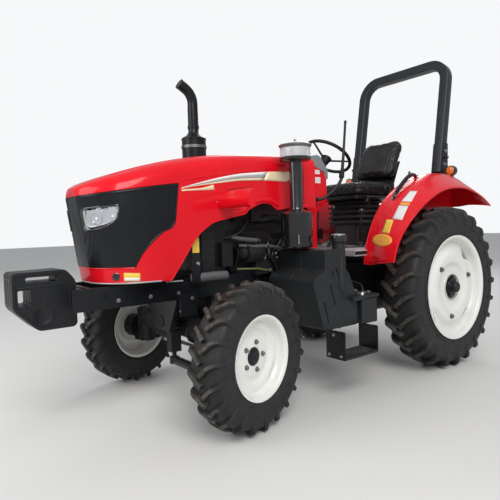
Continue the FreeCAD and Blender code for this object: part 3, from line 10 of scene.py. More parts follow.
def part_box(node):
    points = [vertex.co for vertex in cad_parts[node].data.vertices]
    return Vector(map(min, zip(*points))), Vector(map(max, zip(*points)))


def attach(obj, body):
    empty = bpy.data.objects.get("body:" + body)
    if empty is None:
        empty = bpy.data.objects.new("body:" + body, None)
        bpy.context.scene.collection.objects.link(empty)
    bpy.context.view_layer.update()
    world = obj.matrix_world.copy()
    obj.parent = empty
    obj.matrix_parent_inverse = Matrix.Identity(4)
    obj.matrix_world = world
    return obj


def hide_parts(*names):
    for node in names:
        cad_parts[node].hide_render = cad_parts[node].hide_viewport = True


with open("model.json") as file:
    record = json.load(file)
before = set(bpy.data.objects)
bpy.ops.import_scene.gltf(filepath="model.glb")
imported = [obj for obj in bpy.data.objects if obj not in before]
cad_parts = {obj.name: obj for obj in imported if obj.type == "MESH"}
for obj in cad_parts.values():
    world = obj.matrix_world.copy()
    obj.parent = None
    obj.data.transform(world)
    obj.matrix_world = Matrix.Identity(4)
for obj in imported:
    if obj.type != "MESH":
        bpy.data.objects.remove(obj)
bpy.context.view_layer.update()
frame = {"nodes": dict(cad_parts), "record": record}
cadNodes = frame["nodes"]
rearAxleX = -1.002  # the solids are centred, and measures in the tables below start at the rear axle

print("frame loaded")


# Stage
cameraLook = {"place": (2.364, 2.651, 1.069), "yaw": -128.0, "pitch": -2.59, "roll": -1.74, "lens": 35.04}


def makeCamera(look):
    yaw, pitch, roll = (math.radians(look[k]) for k in ("yaw", "pitch", "roll"))
    ahead = Vector((math.cos(pitch) * math.cos(yaw), math.cos(pitch) * math.sin(yaw), math.sin(pitch)))
    side = ahead.cross(Vector((0, 0, 1))).normalized()
    above = side.cross(ahead)
    right = side * math.cos(roll) + above * math.sin(roll)
    up = above * math.cos(roll) - side * math.sin(roll)
    turn = Matrix((right, up, -ahead)).transposed().to_4x4()
    camera = bpy.data.objects.new("camera", bpy.data.cameras.new("camera"))
    bpy.context.scene.collection.objects.link(camera)
    camera.matrix_world = Matrix.Translation(Vector(look["place"])) @ turn
    camera.data.lens = look["lens"]
    camera.data.clip_end = 200
    bpy.context.scene.camera = camera
    return camera


stageLook = {"floor": (0.70, 0.69, 0.67), "floorHalf": 40.0, "sky": 0.50, "backdrop": (0.93, 0.94, 0.95)}


def makeStage(look):
    half = look["floorHalf"]
    mesh = bpy.data.meshes.new("floor")
    mesh.from_pydata([(-half, -half, 0), (half, -half, 0), (half, half, 0), (-half, half, 0)], [], [(0, 1, 2, 3)])
    floor = bpy.data.objects.new("floor", mesh)
    bpy.context.scene.collection.objects.link(floor)
    material = bpy.data.materials.new("pale floor")
    material.use_nodes = True
    shader = material.node_tree.nodes["Principled BSDF"]
    shader.inputs["Base Color"].default_value = (*look["floor"], 1)
    shader.inputs["Roughness"].default_value = 0.85
    mesh.materials.append(material)
    world = bpy.data.worlds.new("studio")
    bpy.context.scene.world = world
    world.use_nodes = True
    tree = world.node_tree
    tree.nodes.clear()
    rays = tree.nodes.new("ShaderNodeLightPath")
    seen = tree.nodes.new("ShaderNodeMath")
    seen.operation = "MAXIMUM"
    tree.links.new(rays.outputs["Is Camera Ray"], seen.inputs[0])
    tree.links.new(rays.outputs["Is Transmission Ray"], seen.inputs[1])
    lit = tree.nodes.new("ShaderNodeBackground")
    lit.inputs["Color"].default_value = (0.93, 0.96, 1.0, 1)
    lit.inputs["Strength"].default_value = look["sky"]
    shown = tree.nodes.new("ShaderNodeBackground")
    shown.inputs["Color"].default_value = (*look["backdrop"], 1)
    shown.inputs["Strength"].default_value = 1.0
    mixer = tree.nodes.new("ShaderNodeMixShader")
    output = tree.nodes.new("ShaderNodeOutputWorld")
    tree.links.new(seen.outputs[0], mixer.inputs[0])
    tree.links.new(lit.outputs[0], mixer.inputs[1])
    tree.links.new(shown.outputs[0], mixer.inputs[2])
    tree.links.new(mixer.outputs[0], output.inputs["Surface"])


# Columns: name, place, aim, width, watts
lampTable = [
    ("keyLamp", (3.5, 6.5, 6.5), (0, 0, 0.9), 5.0, 560),
    ("fillLamp", (6.5, -1.0, 4.0), (0.8, 0, 0.8), 4.0, 150),
    ("backLamp", (-5.5, -4.5, 5.5), (0, 0, 1.0), 4.0, 170),
]


def makeLamps():
    for name, place, aim, width, watts in lampTable:
        data = bpy.data.lights.new(name, "AREA")
        data.size = width
        data.energy = watts
        lamp = bpy.data.objects.new(name, data)
        bpy.context.scene.collection.objects.link(lamp)
        lamp.location = place
        lamp.rotation_euler = (Vector(aim) - Vector(place)).to_track_quat("-Z", "Y").to_euler()


makeCamera(cameraLook)
makeStage(stageLook)
makeLamps()
bpy.context.scene.view_settings.view_transform = "Standard"
print("stage ready")


# Finishes
def finishNode(tree, kind, **settings):
    made = tree.nodes.new(kind)
    for key, value in settings.items():
        setattr(made, key, value)
    return made


def noiseNode(tree, coords, scale, detail=4.0, rough=0.55):
    noise = finishNode(tree, "ShaderNodeTexNoise")
    noise.inputs["Scale"].default_value = scale
    noise.inputs["Detail"].default_value = detail
    noise.inputs["Roughness"].default_value = rough
    tree.links.new(coords, noise.inputs["Vector"])
    return noise.outputs["Fac"]


def rangeNode(tree, value, low, high, toLow, toHigh):
    ranged = finishNode(tree, "ShaderNodeMapRange")
    for socket, number in zip(("From Min", "From Max", "To Min", "To Max"), (low, high, toLow, toHigh)):
        ranged.inputs[socket].default_value = number
    tree.links.new(value, ranged.inputs["Value"])
    return ranged.outputs["Result"]


def timesNode(tree, first, second, operation="MULTIPLY"):
    maths = finishNode(tree, "ShaderNodeMath", operation=operation)
    for socket, value in zip(maths.inputs, (first, second)):
        if isinstance(value, (int, float)):
            socket.default_value = value
        else:
            tree.links.new(value, socket)
    return maths.outputs[0]


def blendNode(tree, share, first, second):
    mixer = finishNode(tree, "ShaderNodeMix", data_type="RGBA")
    tree.links.new(share, mixer.inputs["Factor"])
    for socket, value in zip((mixer.inputs[6], mixer.inputs[7]), (first, second)):
        if isinstance(value, tuple):
            socket.default_value = (*value, 1)
        else:
            tree.links.new(value, socket)
    return mixer.outputs[2]


def bumpNode(tree, height, strength, distance, before=None):
    bump = finishNode(tree, "ShaderNodeBump")
    bump.inputs["Strength"].default_value = strength
    bump.inputs["Distance"].default_value = distance
    tree.links.new(height, bump.inputs["Height"])
    if before is not None:
        tree.links.new(before, bump.inputs["Normal"])
    return bump.outputs["Normal"]


def makeFinish(name, look):
    material = bpy.data.materials.new(name)
    material.use_nodes = True
    tree = material.node_tree
    shader = tree.nodes["Principled BSDF"]
    spot = finishNode(tree, "ShaderNodeTexCoord").outputs["Object"]
    colour = look["colour"]
    shade = look.get("shade", 0.12)
    drift = noiseNode(tree, spot, look.get("driftScale", 2.5), 6.0)
    mixed = blendNode(
        tree, rangeNode(tree, drift, 0.3, 0.7, 0, 1),
        tuple(c * (1 - shade) for c in colour), tuple(min(1.0, c * (1 + shade)) for c in colour),
    )
    normal = finishNode(tree, "ShaderNodeNewGeometry").outputs["Normal"]
    split = finishNode(tree, "ShaderNodeSeparateXYZ")
    tree.links.new(normal, split.inputs[0])
    rough = rangeNode(tree, noiseNode(tree, spot, look.get("roughScale", 14.0), 5.0), 0.25, 0.75,
                      look["rough"] * 0.85, min(1.0, look["rough"] * 1.2))
    if look.get("dust"):
        upward = rangeNode(tree, split.outputs["Z"], look.get("dustFrom", 0.2), 1.0, 0.25, 1.0)
        patches = rangeNode(tree, noiseNode(tree, spot, look.get("dustScale", 9.0), 7.0, 0.65), 0.35, 0.75, 0, 1)
        dust = timesNode(tree, timesNode(tree, upward, patches), look["dust"])
        mixed = blendNode(tree, dust, mixed, look.get("dustColour", (0.42, 0.37, 0.31)))
        rough = timesNode(tree, rough, timesNode(tree, dust, 0.5), "ADD")
    tree.links.new(mixed, shader.inputs["Base Color"])
    tree.links.new(rough, shader.inputs["Roughness"])
    shader.inputs["Metallic"].default_value = look.get("metal", 0.0)
    shader.inputs["Coat Weight"].default_value = look.get("coat", 0.0)
    shader.inputs["Coat Roughness"].default_value = look.get("coatRough", 0.08)
    shader.inputs["Specular IOR Level"].default_value = look.get("gloss", 0.5)
    shader.inputs["Transmission Weight"].default_value = look.get("clear", 0.0)
    grain = noiseNode(tree, spot, look.get("grainScale", 220.0), look.get("grainDetail", 3.0))
    bump = bumpNode(tree, grain, look.get("grain", 0.06), look.get("grainDeep", 0.002))
    tree.links.new(bump, shader.inputs["Normal"])
    return material


finishTable = {
    "red paint": {"colour": (0.70, 0.003, 0.012), "rough": 0.24, "coat": 0.28, "gloss": 0.2, "shade": 0.06, "grain": 0.02,
                  "grainScale": 160.0, "dust": 0.035, "dustFrom": 0.5},
    "white wheel paint": {"colour": (0.80, 0.80, 0.76), "rough": 0.30, "coat": 0.3, "shade": 0.04, "grain": 0.03,
                          "dust": 0.22, "dustFrom": -0.4, "dustScale": 16.0, "dustColour": (0.45, 0.40, 0.33)},
    "black paint": {"colour": (0.0065, 0.0075, 0.0095), "rough": 0.28, "gloss": 0.28, "shade": 0.2, "grain": 0.08,
                    "dust": 0.035},
    "hoop paint": {"colour": (0.014, 0.017, 0.022), "rough": 0.28, "gloss": 0.4, "shade": 0.12, "grain": 0.05,
                   "dust": 0.04},
    "black plastic": {"colour": (0.008, 0.0085, 0.010), "rough": 0.38, "gloss": 0.28, "shade": 0.15, "grain": 0.25,
                      "grainScale": 520.0, "grainDeep": 0.001, "dust": 0.04},
    "cast iron": {"colour": (0.0085, 0.0095, 0.012), "rough": 0.42, "gloss": 0.28, "shade": 0.3, "grain": 0.35,
                  "grainScale": 150.0, "grainDetail": 5.0, "dust": 0.06},
    "bright steel": {"colour": (0.42, 0.42, 0.43), "rough": 0.28, "metal": 1.0, "shade": 0.1, "grain": 0.1,
                     "grainScale": 300.0, "dust": 0.1},
    "platform paint": {"colour": (0.020, 0.021, 0.024), "rough": 0.50, "shade": 0.2, "grain": 0.3,
                       "grainScale": 90.0, "dust": 0.3},
    "seat vinyl": {"colour": (0.008, 0.008, 0.0095), "rough": 0.42, "gloss": 0.35, "shade": 0.12, "grain": 0.35,
                   "grainScale": 700.0, "grainDeep": 0.0008, "dust": 0.10},
    "lamp glass": {"colour": (0.75, 0.78, 0.8), "rough": 0.12, "shade": 0.02, "grain": 0.0},
    "bolt steel": {"colour": (0.20, 0.20, 0.20), "rough": 0.38, "metal": 0.8, "shade": 0.3, "grain": 0.15, "dust": 0.2},
    "red lens": {"colour": (0.45, 0.01, 0.01), "rough": 0.15, "coat": 0.5, "shade": 0.05, "grain": 0.0},
    "orange lens": {"colour": (0.75, 0.16, 0.01), "rough": 0.15, "coat": 0.5, "shade": 0.05, "grain": 0.0},
    "black gloss": {"colour": (0.008, 0.008, 0.010), "rough": 0.18, "coat": 0.6, "shade": 0.1, "grain": 0.02},
    "mask plastic": {"colour": (0.0065, 0.0075, 0.010), "rough": 0.28, "gloss": 0.30, "shade": 0.15, "grain": 0.15,
                     "grainScale": 420.0, "grainDeep": 0.001, "dust": 0.02},
    "lamp pocket": {"colour": (0.66, 0.67, 0.69), "rough": 0.25, "metal": 0.3, "shade": 0.1, "grain": 0.05},
    "clear cover": {"colour": (0.97, 0.98, 1.0), "rough": 0.03, "shade": 0.0, "grain": 0.0, "clear": 1.0},
    "smoky cover": {"colour": (0.90, 0.91, 0.93), "rough": 0.12, "shade": 0.05, "grain": 0.03, "clear": 0.6},
    "pleat rubber": {"colour": (0.012, 0.012, 0.013), "rough": 0.40, "shade": 0.15, "grain": 0.15, "dust": 0.12},
    "tank plastic": {"colour": (0.0135, 0.016, 0.018), "rough": 0.42, "gloss": 0.30, "shade": 0.12, "grain": 0.25, "grainScale": 380.0,
                     "grainDeep": 0.001, "dust": 0.05},
    "weight paint": {"colour": (0.0085, 0.0095, 0.0115), "rough": 0.36, "gloss": 0.30, "shade": 0.15, "grain": 0.4,
                     "grainScale": 240.0, "grainDeep": 0.0012, "dust": 0.05},
    "engine parts": {"colour": (0.015, 0.016, 0.019), "rough": 0.36, "gloss": 0.4, "shade": 0.4, "grain": 0.3,
                     "grainScale": 160.0, "dust": 0.07},
    "yellow hose": {"colour": (0.16, 0.15, 0.05), "rough": 0.40, "shade": 0.1, "grain": 0.05},
    "cap silver": {"colour": (0.55, 0.56, 0.57), "rough": 0.30, "metal": 0.6, "shade": 0.05, "grain": 0.05},
    "deck metal": {"colour": (0.40, 0.40, 0.39), "rough": 0.45, "metal": 0.2, "shade": 0.15, "grain": 0.15,
                   "grainScale": 120.0, "dust": 0.35},
    "hood grey": {"colour": (0.21, 0.225, 0.235), "rough": 0.40, "shade": 0.08, "grain": 0.1, "dust": 0.05},
    "lid grey": {"colour": (0.11, 0.105, 0.10), "rough": 0.28, "coat": 0.2, "shade": 0.1, "grain": 0.05, "dust": 0.12},
    "chrome": {"colour": (0.82, 0.83, 0.85), "rough": 0.10, "metal": 1.0, "shade": 0.03, "grain": 0.02},
    "white stripe": {"colour": (0.86, 0.86, 0.84), "rough": 0.28, "coat": 0.5, "shade": 0.03, "grain": 0.0},
    "grey stripe": {"colour": (0.36, 0.37, 0.37), "rough": 0.28, "coat": 0.5, "shade": 0.05, "grain": 0.0},
    "cream stripe": {"colour": (0.80, 0.66, 0.43), "rough": 0.28, "coat": 0.5, "shade": 0.04, "grain": 0.0},
    "white label": {"colour": (0.72, 0.72, 0.70), "rough": 0.40, "shade": 0.04, "grain": 0.02},
    "yellow label": {"colour": (0.78, 0.52, 0.06), "rough": 0.40, "shade": 0.04, "grain": 0.02},
    "orange label": {"colour": (0.80, 0.36, 0.05), "rough": 0.40, "shade": 0.04, "grain": 0.02},
    "grey casting": {"colour": (0.085, 0.09, 0.095), "rough": 0.5, "shade": 0.25, "grain": 0.4, "grainScale": 150.0,
                     "dust": 0.3},
}
finishes = {name: makeFinish(name, look) for name, look in finishTable.items()}

slotFinish = {
    "tyre_rubber": "black plastic", "white_wheel_paint": "white wheel paint", "red_paint": "red paint",
    "black_paint": "black paint", "black_plastic": "black plastic", "cast_iron_grey": "cast iron",
    "bright_steel": "bright steel", "platform_paint": "platform paint", "lamp_lens": "lamp glass",
    "seat_vinyl": "seat vinyl",
}
nodeSlot = {part["node"]: part["material_slot"] for part in frame["record"]["subparts"]}
nodeBody = {name: body for body, names in frame["record"]["behaviour"]["bodies"].items() for name in names}


def dressNode(name, finish):
    piece = cadNodes[name]
    if not piece.data.materials:
        piece.data.materials.append(finishes[finish])
    for slot in piece.material_slots:
        slot.material = finishes[finish]


for name in cadNodes:
    dressNode(name, slotFinish[nodeSlot[name]])
dressNode("rollover_hoop", "hoop paint")
print("finishes made")

# Making pieces
def newPiece(name, mesh):
    piece = bpy.data.objects.new(name, mesh)
    bpy.context.scene.collection.objects.link(piece)
    return piece


def meshPiece(name, verts, faces, finish, sharp=35.0):
    mesh = bpy.data.meshes.new(name)
    mesh.from_pydata([tuple(v) for v in verts], [], faces)
    mesh.validate()
    piece = newPiece(name, mesh)
    tidyShape(piece, finish, sharp)
    return piece


def tidyShape(piece, finish, sharp=35.0):
    shape = bmesh.new()
    shape.from_mesh(piece.data)
    bmesh.ops.remove_doubles(shape, verts=shape.verts, dist=1e-5)
    bmesh.ops.recalc_face_normals(shape, faces=shape.faces)
    shape.to_mesh(piece.data)
    shape.free()
    piece.data.shade_smooth()
    piece.data.set_sharp_from_angle(angle=math.radians(sharp))
    piece.data.materials.clear()
    piece.data.materials.append(finish if isinstance(finish, bpy.types.Material) else finishes[finish])


def joined(name, pieces):
    shape = bmesh.new()
    mesh = bpy.data.meshes.new(name)
    for piece in pieces:
        first = len(mesh.materials)
        offsets = []
        for slot in piece.material_slots:
            if slot.material.name not in mesh.materials:
                mesh.materials.append(slot.material)
            offsets.append(list(mesh.materials).index(slot.material))
        part = bmesh.new()
        part.from_mesh(piece.data)
        for face in part.faces:
            face.material_index = offsets[face.material_index] if offsets else 0
        part.to_mesh(piece.data)
        part.free()
        shape.from_mesh(piece.data)
        bpy.data.objects.remove(piece)
    shape.to_mesh(mesh)
    shape.free()
    return newPiece(name, mesh)


def settle(piece, body, *stoodFor, slot=None):
    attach(piece, body)
    if stoodFor:
        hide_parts(*stoodFor)
        slot = slot or nodeSlot[stoodFor[0]]
    return piece


def spun(profile, sides, closed=True, turn=0.0):
    # turns a list of (across, radius) about the Y axis
    verts, faces = [], []
    count = len(profile)
    for k in range(sides):
        angle = 2 * math.pi * k / sides + turn
        verts += [(r * math.sin(angle), y, r * math.cos(angle)) for y, r in profile]
    last = count if closed else count - 1
    for k in range(sides):
        near, far = k * count, (k + 1) % sides * count
        for i in range(last):
            j = (i + 1) % count
            faces.append((near + i, near + j, far + j, far + i))
    return verts, faces


def thickened(points, thick):
    # a closed outline around a line of (across, radius) points
    upper, lower = [], []
    for i, point in enumerate(points):
        before, after = points[max(i - 1, 0)], points[min(i + 1, len(points) - 1)]
        dy, dr = after[0] - before[0], after[1] - before[1]
        size = math.hypot(dy, dr)
        ny, nr = -dr / size * thick / 2, dy / size * thick / 2
        upper.append((point[0] + ny, point[1] + nr))
        lower.append((point[0] - ny, point[1] - nr))
    return upper + lower[::-1]


def smoothRow(rows, steps):
    # Catmull-Rom values between the rows of a table
    filled = []
    for i in range(len(rows) - 1):
        a, b, c, d = rows[max(i - 1, 0)], rows[i], rows[i + 1], rows[min(i + 2, len(rows) - 1)]
        for k in range(steps):
            t = k / steps
            filled.append(tuple(
                0.5 * (2 * q + (r - p) * t + (2 * p - 5 * q + 4 * r - s) * t * t + (3 * q - p - 3 * r + s) * t ** 3)
                for p, q, r, s in zip(a, b, c, d)
            ))
    return filled + [tuple(rows[-1])]


def repeatTree():
    tree = bpy.data.node_groups.new("repeat", "GeometryNodeTree")
    face = tree.interface
    face.new_socket("Shape", in_out="INPUT", socket_type="NodeSocketGeometry")
    face.new_socket("Copies", in_out="INPUT", socket_type="NodeSocketInt")
    face.new_socket("Step", in_out="INPUT", socket_type="NodeSocketVector")
    face.new_socket("Turn", in_out="INPUT", socket_type="NodeSocketVector")
    face.new_socket("Finish", in_out="INPUT", socket_type="NodeSocketMaterial")
    face.new_socket("Shape", in_out="OUTPUT", socket_type="NodeSocketGeometry")
    given = tree.nodes.new("NodeGroupInput")
    result = tree.nodes.new("NodeGroupOutput")
    points = tree.nodes.new("GeometryNodePoints")
    index = tree.nodes.new("GeometryNodeInputIndex")
    place = tree.nodes.new("ShaderNodeVectorMath")
    place.operation = "SCALE"
    turn = tree.nodes.new("ShaderNodeVectorMath")
    turn.operation = "SCALE"
    copies = tree.nodes.new("GeometryNodeInstanceOnPoints")
    real = tree.nodes.new("GeometryNodeRealizeInstances")
    finish = tree.nodes.new("GeometryNodeSetMaterial")
    tree.links.new(given.outputs["Copies"], points.inputs["Count"])
    tree.links.new(given.outputs["Step"], place.inputs[0])
    tree.links.new(index.outputs[0], place.inputs["Scale"])
    tree.links.new(place.outputs[0], points.inputs["Position"])
    tree.links.new(given.outputs["Turn"], turn.inputs[0])
    tree.links.new(index.outputs[0], turn.inputs["Scale"])
    tree.links.new(points.outputs[0], copies.inputs["Points"])
    tree.links.new(given.outputs["Shape"], copies.inputs["Instance"])
    tree.links.new(turn.outputs[0], copies.inputs["Rotation"])
    tree.links.new(copies.outputs[0], real.inputs[0])
    tree.links.new(real.outputs[0], finish.inputs["Geometry"])
    tree.links.new(given.outputs["Finish"], finish.inputs["Material"])
    tree.links.new(finish.outputs[0], result.inputs[0])
    return tree


repeatGroup = repeatTree()


def repeated(piece, copies, step=(0, 0, 0), turn=(0, 0, 0)):
    # the piece again and again, each moved and turned about the origin by the same amount
    finish = piece.data.materials[0]
    modifier = piece.modifiers.new("repeat", "NODES")
    modifier.node_group = repeatGroup
    ids = {item.name: item.identifier for item in repeatGroup.interface.items_tree if item.in_out == "INPUT"}
    modifier[ids["Copies"]] = copies
    modifier[ids["Step"]] = step
    modifier[ids["Turn"]] = turn
    modifier[ids["Finish"]] = finish
    bpy.context.view_layer.update()
    ready = piece.evaluated_get(bpy.context.evaluated_depsgraph_get())
    mesh = bpy.data.meshes.new_from_object(ready)
    piece.modifiers.clear()
    piece.data = mesh
    return piece


def placed(piece, matrix):
    piece.data.transform(matrix)
    if matrix.determinant() < 0:
        piece.data.flip_normals()
    return piece


# Wheels. Each is made about its own axle, with its outer side facing +Y, and then moved.
steerRest = math.radians(13.3)
wheelSpots = {
    "rear_left": Matrix.Translation((-1.002, 0.660, 0.592)),
    "rear_right": Matrix.Translation((-1.002, -0.660, 0.592)) @ Matrix.Scale(-1, 4, (0, 1, 0)),
    "front_left": Matrix.Translation((0.8135, 0.64598, 0.396)) @ Matrix.Rotation(steerRest, 4, "Z"),
    "front_right": Matrix.Translation((0.8825, -0.64598, 0.396)) @ Matrix.Rotation(steerRest, 4, "Z")
    @ Matrix.Scale(-1, 4, (0, 1, 0)),
}

rearTyre = {
    "radius": 0.592, "halfWidth": 0.138, "bead": 0.3575, "rise": 0.034, "lugs": 24, "seatHalf": 0.1185,
    "flange": 0.381, "sides": 144,
}
frontTyre = {
    "radius": 0.396, "halfWidth": 0.099, "bead": 0.2072, "rise": 0.026, "lugs": 22, "seatHalf": 0.0725,
    "flange": 0.226, "sides": 132,
}
# Columns: share of the half width, share of the height over the bead
carcassTable = [
    (0.00, 1.000), (0.22, 0.998), (0.45, 0.988), (0.65, 0.965), (0.80, 0.925), (0.89, 0.865), (0.935, 0.78),
    (0.950, 0.68), (0.952, 0.635), (0.965, 0.628), (0.965, 0.612), (0.950, 0.604), (0.947, 0.50), (0.940, 0.40),
    (0.930, 0.31), (0.928, 0.268), (0.948, 0.262), (0.950, 0.235), (0.926, 0.228), (0.905, 0.17),
]
# Columns: share of the half width, height share, pitches ahead, half thickness in pitches, rise share
lugTable = [
    (0.00, 1.000, 0.600, 0.105, 1.00), (0.25, 0.998, 0.400, 0.098, 1.00), (0.48, 0.985, 0.210, 0.095, 1.00),
    (0.72, 0.955, 0.085, 0.095, 1.00), (0.86, 0.900, 0.030, 0.100, 0.98), (0.93, 0.800, 0.005, 0.105, 0.72),
    (0.948, 0.68, -0.005, 0.100, 0.42), (0.940, 0.54, -0.008, 0.085, 0.0),
]
# Columns: share of the half thickness, share of the rise
lugSection = [(-1.45, -0.12), (-1.16, 0.30), (-1.03, 0.78), (-0.86, 0.97), (-0.50, 1.0), (0.50, 1.0), (0.86, 0.97),
              (1.03, 0.78), (1.16, 0.30), (1.45, -0.12)]


def rubberFinish(name, centre, axis, tyre):
    # road dust on the sides and brown wear on the lugs' tops, by distance from the axle
    material = makeFinish(name, {
        "colour": (0.014, 0.0145, 0.0155), "rough": 0.55, "gloss": 0.35, "shade": 0.25, "grain": 0.22, "grainScale": 260.0,
        "grainDeep": 0.0015, "dust": 0.24, "dustFrom": -0.6, "dustScale": 13.0, "dustColour": (0.115, 0.105, 0.09),
    })
    tree = material.node_tree
    shader = tree.nodes["Principled BSDF"]
    spot = [n for n in tree.nodes if n.bl_idname == "ShaderNodeTexCoord"][0].outputs["Object"]
    offset = finishNode(tree, "ShaderNodeVectorMath", operation="SUBTRACT")
    offset.inputs[1].default_value = centre
    tree.links.new(spot, offset.inputs[0])
    cross = finishNode(tree, "ShaderNodeVectorMath", operation="CROSS_PRODUCT")
    cross.inputs[1].default_value = axis
    tree.links.new(offset.outputs[0], cross.inputs[0])
    far = finishNode(tree, "ShaderNodeVectorMath", operation="LENGTH")
    tree.links.new(cross.outputs[0], far.inputs[0])
    top = tyre["radius"]
    tread = rangeNode(tree, far.outputs["Value"], top - 0.55 * tyre["rise"], top - 0.12 * tyre["rise"], 0, 1)
    patches = rangeNode(tree, noiseNode(tree, spot, 38.0, 6.0, 0.7), 0.42, 0.62, 0.0, 1)
    worn = timesNode(tree, tread, rangeNode(tree, patches, 0, 1, 0.10, 0.62))
    base = shader.inputs["Base Color"].links[0].from_socket
    tree.links.new(blendNode(tree, worn, base, (0.145, 0.115, 0.088)), shader.inputs["Base Color"])
    return material


def makeTyre(name, tyre, finish):
    carcass = tyre["radius"] - tyre["rise"]
    wall = carcass - tyre["bead"]
    half = tyre["halfWidth"]
    outer = [(y * half, tyre["bead"] + up * wall) for y, up in smoothRow(carcassTable, 2)]
    outer += [(tyre["seatHalf"], tyre["flange"] - 0.004), (tyre["seatHalf"] - 0.006, tyre["bead"])]
    profile = [(-y, r) for y, r in outer[:0:-1]] + outer
    body = meshPiece(name, *spun(profile, tyre["sides"]), finish, 50)
    pitch = 2 * math.pi / tyre["lugs"]
    rows = smoothRow(lugTable, 3)
    line = []
    for across, up, ahead, thick, rise in rows:
        r = tyre["bead"] + up * wall
        line.append(Vector((r * math.sin(ahead * pitch), across * half, r * math.cos(ahead * pitch))))
    verts, faces = [], []
    for i, (across, up, ahead, thick, rise) in enumerate(rows):
        along = (line[min(i + 1, len(rows) - 1)] - line[max(i - 1, 0)]).normalized()
        radial = Vector((line[i].x, 0, line[i].z)).normalized()
        tip = 0.0 if across < 0.8 else min(1.0, (across - 0.8) / 0.14)
        normal = (radial + Vector((0, 0.55 * tip, 0))).normalized()
        side = along.cross(normal).normalized()
        wide = thick * pitch * carcass
        for share, height in lugSection:
            spot = line[i] + side * share * wide + radial * height * rise * tyre["rise"]
            spot.y = min(spot.y + 0.05 * half * tip * max(height, 0), half)
            reach = math.hypot(spot.x, spot.z)
            if reach > tyre["radius"]:
                spot.x, spot.z = spot.x * tyre["radius"] / reach, spot.z * tyre["radius"] / reach
            verts.append(spot)
    wide = len(lugSection)
    for i in range(len(rows) - 1):
        for k in range(wide - 1):
            a = i * wide + k
            faces.append((a, a + 1, a + wide + 1, a + wide))
    first = list(range(wide))
    last = [(len(rows) - 1) * wide + k for k in range(wide)]
    faces += [tuple(first[::-1]), tuple(last)]
    bars = []
    for sign in (1, -1):
        bar = meshPiece(name + "_bar", verts, faces, finish, 32)
        if sign < 0:
            placed(bar, Matrix.Rotation(pitch / 2, 4, "Y") @ Matrix.Scale(-1, 4, (0, 1, 0)))
        bars.append(repeated(bar, tyre["lugs"], turn=(0, pitch, 0)))
    return joined(name, [body] + bars)


# Columns: half the rim's line from its lip to the middle, as (across, radius)
rearRim = {
    "line": [(0.1285, 0.3790), (0.1290, 0.3740), (0.1245, 0.3655), (0.1190, 0.3575), (0.1120, 0.3535),
             (0.0850, 0.3520), (0.0700, 0.3470), (0.0580, 0.3380), (0.0440, 0.3330), (0.0, 0.3330)],
    "thick": 0.0055, "sides": 128,
    # Columns: radius, depth behind the outer face
    "disc": [(0.0925, 0.038), (0.0925, 0.050), (0.0960, 0.0540), (0.1500, 0.0540), (0.1640, 0.0500), (0.1760, 0.0360),
             (0.1880, 0.0300), (0.2420, 0.0300), (0.2560, 0.0340), (0.2780, 0.0560), (0.2940, 0.0640), (0.3420, 0.0660)],
    "discThick": 0.007, "lobes": 4, "notch": 0.058, "lobeTurn": 45.0, "half": 0.131,
    "bolts": 3, "boltReach": 0.216, "boltDepth": 0.0300, "boltTurn": -70.0, "boltSize": 0.016,
}
frontRim = {
    "line": [(0.0825, 0.2240), (0.0830, 0.2195), (0.0795, 0.2125), (0.0740, 0.2065), (0.0660, 0.2040),
             (0.0480, 0.2020), (0.0380, 0.1960), (0.0300, 0.1890), (0.0200, 0.1870), (0.0, 0.1870)],
    "thick": 0.005, "sides": 112,
    "disc": [(0.0470, 0.085), (0.0470, 0.0700), (0.0500, 0.0665), (0.0980, 0.0665), (0.1060, 0.0690), (0.1120, 0.0740),
             (0.1340, 0.0740), (0.1420, 0.0700), (0.1520, 0.0600), (0.1660, 0.0560), (0.1870, 0.0580)],
    "discThick": 0.006, "lobes": 2, "notch": 0.016, "lobeTurn": 55.0, "half": 0.085,
    "bolts": 5, "boltReach": 0.0765, "boltDepth": 0.0665, "boltTurn": -18.0, "boltSize": 0.0115,
}


def makeDisc(name, rim, finish):
    # rings of a pressed disc whose edge has lobes that meet the rim and notches between them
    sides = 128
    verts, faces = [], []
    rows = rim["disc"]
    edge = rows[-1][0]
    start = rows[4][0]
    lobeTurn = math.radians(rim["lobeTurn"])
    for back in (0, 1):
        for r, depth in rows:
            for k in range(sides):
                angle = 2 * math.pi * k / sides
                wave = max(0.0, math.cos(rim["lobes"] * (angle - lobeTurn))) ** 3
                share = max(0.0, (r - start) / (edge - start)) ** 3
                reach = r - rim["notch"] * wave * share
                y = rim["half"] - depth - back * rim["discThick"]
                verts.append((reach * math.sin(angle), y, reach * math.cos(angle)))
    count = len(rows)
    for back in (0, 1):
        for i in range(count - 1):
            for k in range(sides):
                j = (k + 1) % sides
                a, b = (back * count + i) * sides, (back * count + i + 1) * sides
                faces.append((a + k, a + j, b + j, b + k))
    for i in (0, count - 1):
        a, b = i * sides, (count + i) * sides
        for k in range(sides):
            j = (k + 1) % sides
            faces.append((a + k, a + j, b + j, b + k))
    return meshPiece(name, verts, faces, finish, 40)


